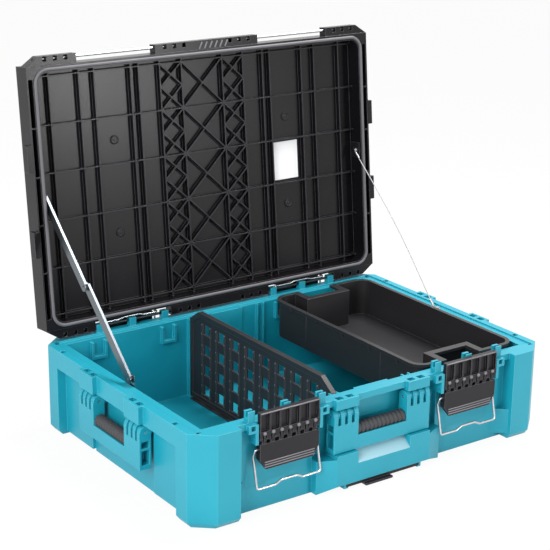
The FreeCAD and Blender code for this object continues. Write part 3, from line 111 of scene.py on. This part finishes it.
def moulded_plastic(name, base, shade, edge, roughness, gloss, grain_mm, grain_depth, edge_mm):
    """Injection-moulded plastic: a fine eroded grain, faint flow shading, and soft edges painted in a paler
    colour as a painted highlight.
    """
    material, tree, output = new_material(name)
    place = add(tree, "ShaderNodeTexCoord").outputs["Object"]
    flow = add(tree, "ShaderNodeTexNoise", {
        "Vector": place, "Scale": pattern_scale(FLOW_MM), "Detail": 3})
    grain = add(tree, "ShaderNodeTexNoise", {
        "Vector": place, "Scale": pattern_scale(grain_mm), "Detail": 2})
    rounded = add(tree, "ShaderNodeBevel", {"Radius": edge_mm * MM}, samples=EDGE_RAYS)
    flat = add(tree, "ShaderNodeNewGeometry").outputs["Normal"]
    facing = add(tree, "ShaderNodeVectorMath", {0: rounded.outputs[0], 1: flat},
                 operation="DOT_PRODUCT")
    # Mask of the rounded edges, where the painted highlight goes
    on_edge = add(tree, "ShaderNodeMapRange", {
        "Value": facing.outputs["Value"], "From Min": 0.995, "From Max": 0.85,
        "To Min": 0, "To Max": 1})
    body = add(tree, "ShaderNodeMix", {
        "Factor": flow.outputs["Fac"], "A": linear(base), "B": linear(shade)}, data_type="RGBA")
    # Edges painted in the paler edge colour: a painted highlight
    painted_edge_highlight = add(tree, "ShaderNodeMix", {
        "Factor": on_edge.outputs["Result"], "A": body.outputs["Result"], "B": linear(edge)},
               data_type="RGBA")
    sheen = add(tree, "ShaderNodeMapRange", {
        "Value": grain.outputs["Fac"], "To Min": roughness - 0.06, "To Max": roughness + 0.06})
    bump = add(tree, "ShaderNodeBump", {
        "Strength": 0.5, "Distance": grain_depth * MM, "Height": grain.outputs["Fac"],
        "Normal": rounded.outputs[0]})
    shader = add(tree, "ShaderNodeBsdfPrincipled", {
        "Base Color": painted_edge_highlight.outputs["Result"], "Roughness": sheen.outputs["Result"],
        "Normal": bump.outputs["Normal"], "IOR": 1.49, "Specular IOR Level": gloss})
    tree.links.new(shader.outputs[0], output.inputs[0])
    return material


def metal(name, colour, roughness, streak_mm, stretch, edge_mm):
    """Bare or plated metal with fine drawing marks along one direction and soft edges."""
    material, tree, output = new_material(name)
    place = add(tree, "ShaderNodeTexCoord").outputs["Object"]
    along = add(tree, "ShaderNodeMapping", {"Vector": place, "Scale": stretch})
    marks = add(tree, "ShaderNodeTexNoise", {
        "Vector": along.outputs[0], "Scale": pattern_scale(streak_mm), "Detail": 3})
    gloss = add(tree, "ShaderNodeMapRange", {
        "Value": marks.outputs["Fac"], "To Min": roughness - 0.08, "To Max": roughness + 0.1})
    rounded = add(tree, "ShaderNodeBevel", {"Radius": edge_mm * MM}, samples=EDGE_RAYS)
    bump = add(tree, "ShaderNodeBump", {
        "Strength": 0.25, "Distance": 0.05 * MM, "Height": marks.outputs["Fac"],
        "Normal": rounded.outputs[0]})
    shader = add(tree, "ShaderNodeBsdfPrincipled", {
        "Base Color": linear(colour), "Metallic": 1, "Roughness": gloss.outputs["Result"],
        "Normal": bump.outputs["Normal"]})
    tree.links.new(shader.outputs[0], output.inputs[0])
    return material


# Polypropylene in teal, moulded with a fine grain: soft highlights, and edges painted paler as a painted
# highlight
teal = moulded_plastic(
    "teal_polypropylene_grained", "#169cb1", "#1092a7", "#5cc2d2",
    roughness=0.42, gloss=0.5, grain_mm=1.6, grain_depth=0.05, edge_mm=1.2)
# Polypropylene in black, moulded smooth: a broad grey sheen
black_lid = moulded_plastic(
    "black_polypropylene_moulded", "#161417", "#111012", "#5c585d",
    roughness=0.25, gloss=0.21, grain_mm=2.0, grain_depth=0.02, edge_mm=1.2)
# Polyethylene in black: the tray and the divider are a little softer and paler than the lid
black_tray = moulded_plastic(
    "black_polyethylene_moulded", "#2b2a2c", "#252426", "#59575b",
    roughness=0.40, gloss=0.42, grain_mm=2.4, grain_depth=0.04, edge_mm=1.6)
# Glass-filled nylon in black: latches and lock slide, with a drier, coarser skin
black_latch = moulded_plastic(
    "black_nylon_moulded", "#1d1b1f", "#18161a", "#77757a",
    roughness=0.4, gloss=0.34, grain_mm=1.4, grain_depth=0.05, edge_mm=0.9)
# The same nylon, smoother, painted pale grey: a painted highlight on ridges, knobs, lips, studs and comb
# bars
highlight_nylon_painted = moulded_plastic(
    "grey_nylon_painted_highlight", "#77757a", "#6c6a6f", "#a5a3a8",
    roughness=0.3, gloss=0.5, grain_mm=1.4, grain_depth=0.02, edge_mm=0.5)
# Thermoplastic rubber, matt and dark grey
grip_rubber = moulded_plastic(
    "grey_rubber_matt", "#434346", "#3b3b3e", "#66666b",
    roughness=0.6, gloss=0.4, grain_mm=1.2, grain_depth=0.08, edge_mm=0.8)
# Sponge rubber cord with a smooth skin: a grey satin bead
seal_rubber = moulded_plastic(
    "grey_sponge_rubber_skin", "#68666a", "#5d5b5f", "#807e82",
    roughness=0.5, gloss=0.5, grain_mm=3.0, grain_depth=0.05, edge_mm=0.5)
# Polycarbonate plate tinted pale blue, smooth
pale_plate = moulded_plastic(
    "pale_polycarbonate_smooth", "#9fcbd7", "#97c4d1", "#c4e2ea",
    roughness=0.3, gloss=0.5, grain_mm=3.0, grain_depth=0.01, edge_mm=0.3)
# Plain white polyester film
white_film = moulded_plastic(
    "white_polyester_film", "#f1f1f1", "#ececec", "#ffffff",
    roughness=0.4, gloss=0.5, grain_mm=4.0, grain_depth=0.01, edge_mm=0.2)
# Steel with bright zinc plate: mirror-like with faint drawing marks
bright_steel = metal(
    "bright_zinc_plated_steel", "#c6c8ca",
    roughness=0.24, streak_mm=1.5, stretch=(0.15, 1, 1), edge_mm=0.4)
# Cold-rolled steel sheet, zinc plated and folded: duller grey face
stay_steel = metal(
    "grey_zinc_plated_sheet", "#73797e",
    roughness=0.3, streak_mm=2.0, stretch=(1, 1, 0.12), edge_mm=0.4)
# Drawn steel rod where the lid turns on it, painted dark as painted shade
shaded_steel = metal(
    "dark_drawn_steel_painted_shade", "#3c4044",
    roughness=0.35, streak_mm=1.5, stretch=(0.15, 1, 1), edge_mm=0.4)


def paint(names, material):
    """Gives CAD nodes one material."""
    for name in names:
        cad[name].data.materials.clear()
        cad[name].data.materials.append(material)


paint(["case_body", "front_handle", "left_handle", "right_handle"], teal)
paint(["lid_shell"], black_lid)
paint(["lift_out_tray", "divider"], black_tray)
paint(["left_latch_clasp", "left_latch_lever", "right_latch_clasp", "right_latch_lever",
       "base_lock_slide"], black_latch)
paint(["front_label_plate"], pale_plate)
paint(["lid_label"], white_film)
paint(["stay_upper_link", "stay_lower_link"], stay_steel)
paint(["lid_rear_rods"], shaded_steel)
paint(["front_handle_pins", "left_handle_pins", "right_handle_pins", "left_latch_pin",
       "right_latch_pin", "left_latch_bail", "right_latch_bail", "left_hinge_wire",
       "right_hinge_wire", "lid_front_rods", "stay_elbow_rivet", "stay_lid_bracket",
       "stay_case_bracket", "lanyard_case_end", "lanyard_case_screw", "lanyard_lid_end",
       "lanyard_lid_screw"], bright_steel)


# Shared modelling steps

def clear_selection():
    """Nothing selected, in object mode, as each operator below expects."""
    if bpy.context.mode != "OBJECT":
        bpy.ops.object.mode_set(mode="OBJECT")
    bpy.ops.object.select_all(action="DESELECT")


def finish_piece(piece, name, material, body):
    """Names a piece, puts its place in its mesh, gives it its finish and lets it ride on a body."""
    clear_selection()
    piece.select_set(True)
    bpy.context.view_layer.objects.active = piece
    bpy.ops.object.transform_apply(location=True, rotation=True, scale=True)
    piece.name = name
    piece.data.name = name
    piece.data.materials.clear()
    piece.data.materials.append(material)
    if body:
        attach(piece, body)
    return piece


def copy_piece(piece):
    """A copy with its own mesh."""
    twin = piece.copy()
    twin.data = piece.data.copy()
    bpy.context.scene.collection.objects.link(twin)
    return twin


def soft_block(size, middle, edge):
    """A block with rounded edges; size and middle in millimetres."""
    clear_selection()
    bpy.ops.mesh.primitive_cube_add(size=1, location=Vector(middle) * MM)
    block = bpy.context.object
    block.scale = Vector(size) * MM
    bpy.ops.object.transform_apply(location=False, rotation=False, scale=True)
    bpy.ops.object.mode_set(mode="EDIT")
    bpy.ops.mesh.select_all(action="SELECT")
    bpy.ops.mesh.bevel(offset=edge * MM, segments=2, affect="EDGES")
    bpy.ops.object.mode_set(mode="OBJECT")
    bpy.ops.object.shade_smooth_by_angle(angle=SMOOTH_ANGLE)
    return block


def drawn_disc(radius, steps, sides, middle, facing):
    """A disc drawn out in steps of rise and swell, then turned to face a direction; in millimetres."""
    clear_selection()
    bpy.ops.mesh.primitive_circle_add(vertices=sides, radius=radius * MM, fill_type="NGON")
    disc = bpy.context.object
    bpy.ops.object.mode_set(mode="EDIT")
    bpy.ops.mesh.select_all(action="SELECT")
    for rise, swell in steps:
        bpy.ops.mesh.extrude_region_move(TRANSFORM_OT_translate={"value": (0, 0, rise * MM)})
        bpy.ops.transform.resize(value=(swell, swell, 1))
    bpy.ops.mesh.select_all(action="SELECT")
    bpy.ops.mesh.normals_make_consistent(inside=False)
    bpy.ops.object.mode_set(mode="OBJECT")
    bpy.ops.object.shade_smooth_by_angle(angle=SMOOTH_ANGLE)
    turn = Vector((0, 0, 1)).rotation_difference(Vector(facing)).to_matrix().to_4x4()
    disc.matrix_world = Matrix.Translation(Vector(middle) * MM) @ turn
    return disc


def join(pieces):
    """Several objects as one."""
    clear_selection()
    for piece in pieces:
        piece.select_set(True)
    bpy.context.view_layer.objects.active = pieces[0]
    bpy.ops.object.join()
    return bpy.context.object


def repeat(piece, steps):
    """Copies of a piece, each moved by a step in millimetres, as one object."""
    bpy.context.view_layer.update()
    copies = []
    for step in steps:
        twin = copy_piece(piece)
        twin.matrix_world = Matrix.Translation(Vector(step) * MM) @ piece.matrix_world
        copies.append(twin)
    bpy.data.objects.remove(piece)
    return join(copies)


# Wire lanyard: its route between the two crimps, as in the part's source, bowed up and forward
LANYARD_FOOT = Vector((370, 18, 175)) * MM
LANYARD_EYE = Vector((370, 295.43, 448.69)) * MM
LANYARD_CRIMP = 16 * MM
LANYARD_EYE_CRIMP = 21 * MM
LANYARD_LEAD = 6 * MM
LANYARD_BOW = 9 * MM
LANYARD_RADIUS = 1 * MM
LANYARD_RUNS = 9


def lanyard_route():
    """Control points of the lanyard's line."""
    along = (LANYARD_EYE - LANYARD_FOOT).normalized()
    first = LANYARD_FOOT + along * LANYARD_CRIMP
    last = LANYARD_EYE - along * LANYARD_EYE_CRIMP
    side = along.cross(Vector((1, 0, 0))).normalized()
    lead = along * LANYARD_LEAD
    points = [first]
    for k in range(LANYARD_RUNS + 1):
        share = k / LANYARD_RUNS
        bow = LANYARD_BOW * math.sin(math.pi * share)
        points.append(first + lead + (last - first - lead * 2) * share - side * bow)
    return points + [last]


def wire_rope():
    """Nylon-coated wire rope: pale, with the strands' twist showing through the coat."""
    material, tree, output = new_material("pale_nylon_coated_wire_rope")
    place = add(tree, "ShaderNodeTexCoord").outputs["Object"]
    twist = add(tree, "ShaderNodeTexWave", {
        "Vector": place, "Scale": pattern_scale(6), "Distortion": 1.5, "Detail": 1},
                bands_direction="DIAGONAL")
    strands = add(tree, "ShaderNodeMix", {
        "Factor": twist.outputs["Fac"], "A": linear("#a6a8aa"), "B": linear("#c6c7c8")},
                  data_type="RGBA")
    bump = add(tree, "ShaderNodeBump", {
        "Strength": 0.2, "Distance": 0.1 * MM, "Height": twist.outputs["Fac"]})
    shader = add(tree, "ShaderNodeBsdfPrincipled", {
        "Base Color": strands.outputs["Result"], "Roughness": 0.35, "Normal": bump.outputs["Normal"]})
    tree.links.new(shader.outputs[0], output.inputs[0])
    return material


def make_lanyard():
    """The lanyard's wire: a tube along one smooth line between the crimps."""
    route = lanyard_route()
    line = bpy.data.curves.new("lanyard_line", "CURVE")
    line.dimensions = "3D"
    spline = line.splines.new("NURBS")
    spline.points.add(len(route) - 1)
    for point, place in zip(spline.points, route):
        point.co = (*place, 1)
    spline.order_u = 3
    spline.use_endpoint_u = True
    spline.resolution_u = 6
    wire = bpy.data.objects.new("lanyard_line", line)
    bpy.context.scene.collection.objects.link(wire)
    centre = bpy.data.meshes.new_from_object(wire)
    line.bevel_depth = LANYARD_RADIUS
    line.bevel_resolution = 3
    line.use_fill_caps = True
    clear_selection()
    wire.select_set(True)
    bpy.context.view_layer.objects.active = wire
    bpy.ops.object.convert(target="MESH")
    wire = bpy.context.object
    bpy.ops.object.shade_smooth()
    finish_piece(wire, "lanyard_wire_rope", wire_rope(), None)
    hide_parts("lanyard_wire")
    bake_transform(wire)


make_lanyard()


# Ribbed rubber grips
GRIP_RIBS = 12
GRIP_GROOVE = 2 * MM
GRIP_SIDES = 40
GRIP_EDGE = 0.5 * MM


def make_grip(name, body):
    """One grip: a tube drawn out rib by rib, rounded, in the CAD grip's own space."""
    low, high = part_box(name)
    middle = (low + high) / 2
    size = high - low
    along = max(range(3), key=lambda k: size[k])
    radius = min(size) / 2
    pitch = size[along] / GRIP_RIBS
    clear_selection()
    bpy.ops.mesh.primitive_circle_add(vertices=GRIP_SIDES, radius=radius - GRIP_GROOVE, fill_type="NGON")
    grip = bpy.context.object
    bpy.ops.object.mode_set(mode="EDIT")
    bpy.ops.mesh.select_all(action="SELECT")
    swell_out = radius / (radius - GRIP_GROOVE)
    steps = ((0.12, 1), (0.13, swell_out), (0.5, 1), (0.13, 1 / swell_out), (0.12, 1))
    for _ in range(GRIP_RIBS):
        for share, swell in steps:
            bpy.ops.mesh.extrude_region_move(TRANSFORM_OT_translate={"value": (0, 0, share * pitch)})
            bpy.ops.transform.resize(value=(swell, swell, 1))
    bpy.ops.mesh.select_all(action="SELECT")
    bpy.ops.mesh.normals_make_consistent(inside=False)
    bpy.ops.object.mode_set(mode="OBJECT")
    turn = Vector((0, 0, 1)).rotation_difference(Vector([k == along for k in range(3)]))
    half = Vector([size[k] / 2 if k == along else 0 for k in range(3)])
    grip.matrix_world = Matrix.Translation(middle - half) @ turn.to_matrix().to_4x4()
    soft = grip.modifiers.new("round", "BEVEL")
    soft.width = GRIP_EDGE
    soft.segments = 2
    soft.limit_method = "ANGLE"
    bpy.ops.object.modifier_apply(modifier=soft.name)
    bpy.ops.object.shade_smooth_by_angle(angle=SMOOTH_ANGLE)
    finish_piece(grip, f"{name}_rubber", grip_rubber, body)
    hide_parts(name)


make_grip("front_grip", "front_carry_handle")
make_grip("left_grip", "left_carry_handle")
make_grip("right_grip", "right_carry_handle")


# Lid's own frame: closed places, turned about the hinge to where the open lid is
HINGE = Vector(joints["lid_hinge"]["pos_m"])
LID_TURN = math.radians(95.6)
OPEN_LID = Matrix.Translation(HINGE) @ Matrix.Rotation(-LID_TURN, 4, "X") @ Matrix.Translation(-HINGE)


# Seal bead in the lid
SEAL_HALF = Vector((381, 245, 0)) * MM
SEAL_CORNER = 26 * MM
SEAL_RADIUS = 3.2 * MM
SEAL_HEIGHT = 174.6 * MM


def make_seal():
    """A round bead along the seal's line, drawn closed and turned with the lid."""
    clear_selection()
    bpy.ops.mesh.primitive_plane_add(size=2, location=(0, 0, SEAL_HEIGHT))
    seal = bpy.context.object
    seal.scale = (SEAL_HALF.x, SEAL_HALF.y, 1)
    bpy.ops.object.transform_apply(location=True, rotation=True, scale=True)
    bpy.ops.object.mode_set(mode="EDIT")
    bpy.ops.mesh.select_all(action="SELECT")
    bpy.ops.mesh.bevel(offset=SEAL_CORNER, segments=10, affect="VERTICES")
    bpy.ops.mesh.select_all(action="SELECT")
    bpy.ops.mesh.delete(type="ONLY_FACE")
    bpy.ops.object.mode_set(mode="OBJECT")
    bpy.ops.object.convert(target="CURVE")
    seal = bpy.context.object
    seal.data.bevel_depth = SEAL_RADIUS
    seal.data.bevel_resolution = 4
    bpy.ops.object.convert(target="MESH")
    seal = bpy.context.object
    seal.matrix_world = OPEN_LID
    finish_piece(seal, "lid_seal_bead", seal_rubber, "lid")
    bpy.ops.object.shade_smooth()
    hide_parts("lid_seal")


make_seal()


# Latches, and hinge wires behind them, stand this far to each side of the middle, in millimetres
LATCH_AT = 208

# Moulded details of the lid's inside, in the closed lid's millimetres
LID_PANEL = 212
BOSS_AT = (204, 92)
BOSS_RADIUS = 9
BOSS_RING = ((1.9, 1), (0.5, 0.93), (0, 0.74), (-1.9, 0.96), (0, 0.5), (1.4, 0.8))
RIB_COLUMNS = (164, 244, 277, 341)
RIB_ROWS = (46, 138)
RIB_EDGE = 201
KNOT_RADIUS = 3
KNOT_STEPS = ((1.6, 1), (0.6, 0.8))
EYE_PLATE = (1.6, 34, 27)
EYE_PLATE_X = 375.4
EYE_PLATE_RISE = 4
STRIP_FACE = 176.5
STRIP_MIDDLE = -260
COMB_BAR = (3, 15, 2.4)
COMB_FROM = -16
COMB_PITCH = 12
COMB_BARS = 6
COMB_LEAN = 28
FLANGE_SIZE = (110, 30, 1.8)
FLANGE_MIDDLE = (0, 265, 196.1)


def on_lid(piece, name, material):
    """Turns a piece from the closed lid to the open one and lets it ride there."""
    bpy.context.view_layer.update()
    piece.matrix_world = OPEN_LID @ piece.matrix_world
    return finish_piece(piece, name, material, "lid")


def make_lid_details():
    """Bosses, knots where ribs cross, the lanyard's plate, the front comb, flanges behind the rear rods."""
    boss = drawn_disc(BOSS_RADIUS, BOSS_RING, 28, (0, 0, LID_PANEL), (0, 0, -1))
    corners = [(x * BOSS_AT[0], y * BOSS_AT[1], 0) for x in (-1, 1) for y in (-1, 1)]
    on_lid(repeat(boss, corners), "lid_bosses", black_lid)
    knot = drawn_disc(KNOT_RADIUS, KNOT_STEPS, 12, (0, 0, RIB_EDGE + 1), (0, 0, -1))
    crossings = [(sx * x, sy * y, 0) for x in RIB_COLUMNS for y in RIB_ROWS
                 for sx in (-1, 1) for sy in (-1, 1)]
    on_lid(repeat(knot, crossings), "lid_rib_knots", black_lid)
    eye = OPEN_LID.inverted() @ LANYARD_EYE / MM
    plate = soft_block(EYE_PLATE, (EYE_PLATE_X, eye.y, eye.z + EYE_PLATE_RISE), 0.7)
    on_lid(plate, "lid_lanyard_plate", black_latch)
    bar = soft_block(COMB_BAR, (COMB_FROM, STRIP_MIDDLE, STRIP_FACE), 0.7)
    bar.rotation_euler.z = math.radians(COMB_LEAN)
    bars = repeat(bar, [(k * COMB_PITCH, 0, 0) for k in range(COMB_BARS)])
    # The comb bars are painted pale grey: a painted highlight
    on_lid(bars, "lid_strip_comb", highlight_nylon_painted)
    flange = soft_block(FLANGE_SIZE, FLANGE_MIDDLE, 0.4)
    flanges = repeat(flange, [(-LATCH_AT, 0, 0), (LATCH_AT, 0, 0)])
    on_lid(flanges, "lid_rear_flanges", black_lid)


make_lid_details()


# Latch details in millimetres: grip ridges on the levers; knobs, stems and a lip on the clasps; ridges,
# knobs and lip painted pale grey as a painted highlight
LATCH_FACE = -278
LATCH_WIDTH = 125
CLASP_FACE = LATCH_FACE + 0.6
RIDGES = 3
RIDGE = (106, 2.4, 2.4)
RIDGE_HEIGHT = 88.5
RIDGE_PITCH = 4.6
KNOBS = 7
KNOB_PITCH = LATCH_WIDTH / KNOBS
KNOB_HEIGHT = 151.8
KNOB_RADIUS = 3.3
KNOB_STEPS = ((2, 1), (1, 0.85), (0.5, 0.55))
STEM = (4.6, 4, 13)
STEM_HEIGHT = 143
LIP = (LATCH_WIDTH - 1, 2.6, 2.4)
LIP_HEIGHT = 188.6


def make_latch_details(side, sign):
    """One latch's details; the ridges ride on its lever and the rest on the case."""
    middle = sign * LATCH_AT
    ridge = soft_block(RIDGE, (middle, LATCH_FACE, RIDGE_HEIGHT), 0.8)
    ridges = repeat(ridge, [(0, 0, RIDGE_PITCH * k) for k in range(RIDGES)])
    finish_piece(ridges, f"{side}_lever_ridges", highlight_nylon_painted, f"{side}_lever")
    along = [((k - (KNOBS - 1) / 2) * KNOB_PITCH, 0, 0) for k in range(KNOBS)]
    knob = drawn_disc(KNOB_RADIUS, KNOB_STEPS, 16, (middle, CLASP_FACE, KNOB_HEIGHT), (0, -1, 0))
    finish_piece(repeat(knob, along), f"{side}_clasp_knobs", highlight_nylon_painted, "case")
    stem = soft_block(STEM, (middle, CLASP_FACE, STEM_HEIGHT), 1.2)
    finish_piece(repeat(stem, along), f"{side}_clasp_stems", black_latch, "case")
    lip = soft_block(LIP, (middle, CLASP_FACE, LIP_HEIGHT), 0.9)
    finish_piece(lip, f"{side}_clasp_lip", highlight_nylon_painted, "case")


make_latch_details("left", -1)
make_latch_details("right", 1)


# Studs beside the divider's holes, on the upright ribs of both faces, painted pale grey as a painted
# highlight
DIVIDER_AT = -83.5
DIVIDER_RIB_FACE = 4
HOLE_COLUMNS = 8
HOLE_PITCH = 50.8
HOLE_ROWS = (161, 117.7, 74.4, 31.1)
STUD_OFF = (15, 9.5)
STUD_RADIUS = 1.5
STUD_STEPS = ((0.5, 1), (0.4, 0.6))


def make_divider_studs():
    """Four studs round each hole, as one piece for each face."""
    places = []
    for column in range(HOLE_COLUMNS):
        along = (column - (HOLE_COLUMNS - 1) / 2) * HOLE_PITCH
        for row in HOLE_ROWS:
            for sy in (-1, 1):
                for sz in (-1, 1):
                    places.append((0, along + sy * STUD_OFF[0], row + sz * STUD_OFF[1]))
    for name, sign in (("left", -1), ("right", 1)):
        face = (DIVIDER_AT + sign * DIVIDER_RIB_FACE, 0, 0)
        stud = drawn_disc(STUD_RADIUS, STUD_STEPS, 8, face, (sign, 0, 0))
        studs = repeat(stud, places)
        finish_piece(studs, f"divider_studs_{name}", highlight_nylon_painted, "divider_panel")


make_divider_studs()


# Tray: gussets under the rim and upright mould lines on the long walls
TRAY_SIDES = ((-1, 118), (1, 356))
TRAY_RIM_UNDER = 172
GUSSET = (4.4, 5, 12)
GUSSET_TAPER = 4
GUSSETS_AT = (-170, -85, 0, 85, 170)
MOULD_LINE = (0.9, 3, 68)
MOULD_LINE_PROUD = 0.2
MOULD_LINE_MIDDLE = 136
MOULD_LINES_AT = (-120, 120)


def make_tray_details():
    """Gussets that taper to the wall at their foot, and mould lines that stand just proud of it."""
    gussets, lines = [], []
    for sign, wall in TRAY_SIDES:
        middle = (wall + sign * GUSSET[0] / 2, 0, TRAY_RIM_UNDER - GUSSET[2] / 2)
        gusset = soft_block(GUSSET, middle, 0.5)
        bpy.ops.object.mode_set(mode="EDIT")
        bpy.ops.mesh.select_all(action="DESELECT")
        bpy.ops.object.mode_set(mode="OBJECT")
        for vertex in gusset.data.vertices:
            vertex.select = vertex.co.z < 0 and vertex.co.x * sign > 0
        bpy.ops.object.mode_set(mode="EDIT")
        bpy.ops.transform.translate(value=(-sign * GUSSET_TAPER * MM, 0, 0))
        bpy.ops.object.mode_set(mode="OBJECT")
        gussets.append(repeat(gusset, [(0, y, 0) for y in GUSSETS_AT]))
        line = soft_block(MOULD_LINE, (wall + sign * MOULD_LINE_PROUD, 0, MOULD_LINE_MIDDLE), 0.3)
        lines.append(repeat(line, [(0, y, 0) for y in MOULD_LINES_AT]))
    for name, pair in (("tray_gussets", gussets), ("tray_mould_lines", lines)):
        finish_piece(join(pair), name, black_tray, "tray")


make_tray_details()


# Studio: pale floor, soft lamps, white surroundings

def backdrop_shader(tree, shade, surface):
    """White to the camera and to mirrors and glass, and an ordinary surface to the light."""
    path = add(tree, "ShaderNodeLightPath")
    seen = add(tree, "ShaderNodeMath", {
        0: path.outputs["Is Camera Ray"], 1: path.outputs["Is Glossy Ray"]}, operation="MAXIMUM")
    seen = add(tree, "ShaderNodeMath", {0: seen.outputs[0], 1: path.outputs["Is Transmission Ray"]},
               operation="MAXIMUM")
    share = add(tree, "ShaderNodeMath", {0: seen.outputs[0], 1: shade}, operation="MULTIPLY")
    return add(tree, "ShaderNodeMixShader", {"Fac": share.outputs[0], 1: surface.outputs[0]})


def make_floor():
    """A pale floor that keeps a soft shadow."""
    material, tree, output = new_material("pale_studio_floor")
    paper = add(tree, "ShaderNodeBsdfDiffuse", {"Color": linear("#f2f2f2")})
    glow = add(tree, "ShaderNodeEmission", {"Color": linear("#ffffff"), "Strength": 1})
    mixed = backdrop_shader(tree, FLOOR_GLOW, paper)
    tree.links.new(glow.outputs[0], mixed.inputs[2])
    tree.links.new(mixed.outputs[0], output.inputs[0])
    clear_selection()
    bpy.ops.mesh.primitive_plane_add(size=FLOOR_SIZE)
    floor = bpy.context.object
    floor.name = "floor"
    floor.data.materials.append(material)


def make_world():
    """Soft light from all round, and white where the camera sees past the floor."""
    world = bpy.data.worlds.new("studio")
    world.use_nodes = True
    tree = world.node_tree
    tree.nodes.clear()
    output = add(tree, "ShaderNodeOutputWorld")
    soft = add(tree, "ShaderNodeBackground", {"Color": linear("#ffffff"), "Strength": WORLD_LIGHT})
    white = add(tree, "ShaderNodeBackground", {"Color": linear("#ffffff"), "Strength": 1})
    mixed = backdrop_shader(tree, 1, soft)
    tree.links.new(white.outputs[0], mixed.inputs[2])
    tree.links.new(mixed.outputs[0], output.inputs[0])
    bpy.context.scene.world = world


def softbox(name, place, aim, size, power):
    """A square lamp that faces a point."""
    light = bpy.data.lights.new(name, "AREA")
    light.shape = "SQUARE"
    light.size = size
    light.energy = power
    lamp = bpy.data.objects.new(name, light)
    lamp.location = place
    lamp.rotation_euler = (Vector(aim) - Vector(place)).to_track_quat("-Z", "Y").to_euler()
    bpy.context.scene.collection.objects.link(lamp)


FLOOR_SIZE = 14
FLOOR_GLOW = 0.94
WORLD_LIGHT = 0.52

make_floor()
make_world()
softbox("key_light", (-2.6, -1.2, 1.6), (-0.3, -0.1, 0.2), 1.6, 74)
softbox("lid_light", (2.5, -5.0, 0.72), (-0.3, 0.3, 0.6), 0.7, 56)
softbox("top_light", (0.9, 0.2, 2.2), (-0.3, 0, 0.1), 1.2, 62)


# Camera

def make_camera():
    """The photograph's view."""
    turn, rise = math.radians(CAMERA_AZIMUTH), math.radians(CAMERA_ELEVATION)
    back = Vector((math.sin(turn) * math.cos(rise), -math.cos(turn) * math.cos(rise), math.sin(rise)))
    lens = bpy.data.cameras.new("photo_camera")
    lens.lens = CAMERA_LENS
    lens.sensor_width = CAMERA_SENSOR
    camera = bpy.data.objects.new("photo_camera", lens)
    level = back.to_track_quat("Z", "Y").to_matrix().to_4x4()
    roll = Matrix.Rotation(math.radians(CAMERA_ROLL), 4, "Z")
    camera.matrix_world = Matrix.Translation(CAMERA_TARGET + back * CAMERA_DISTANCE) @ level @ roll
    bpy.context.scene.collection.objects.link(camera)
    bpy.context.scene.camera = camera


make_camera()
bpy.context.scene.view_settings.view_transform = "Standard"
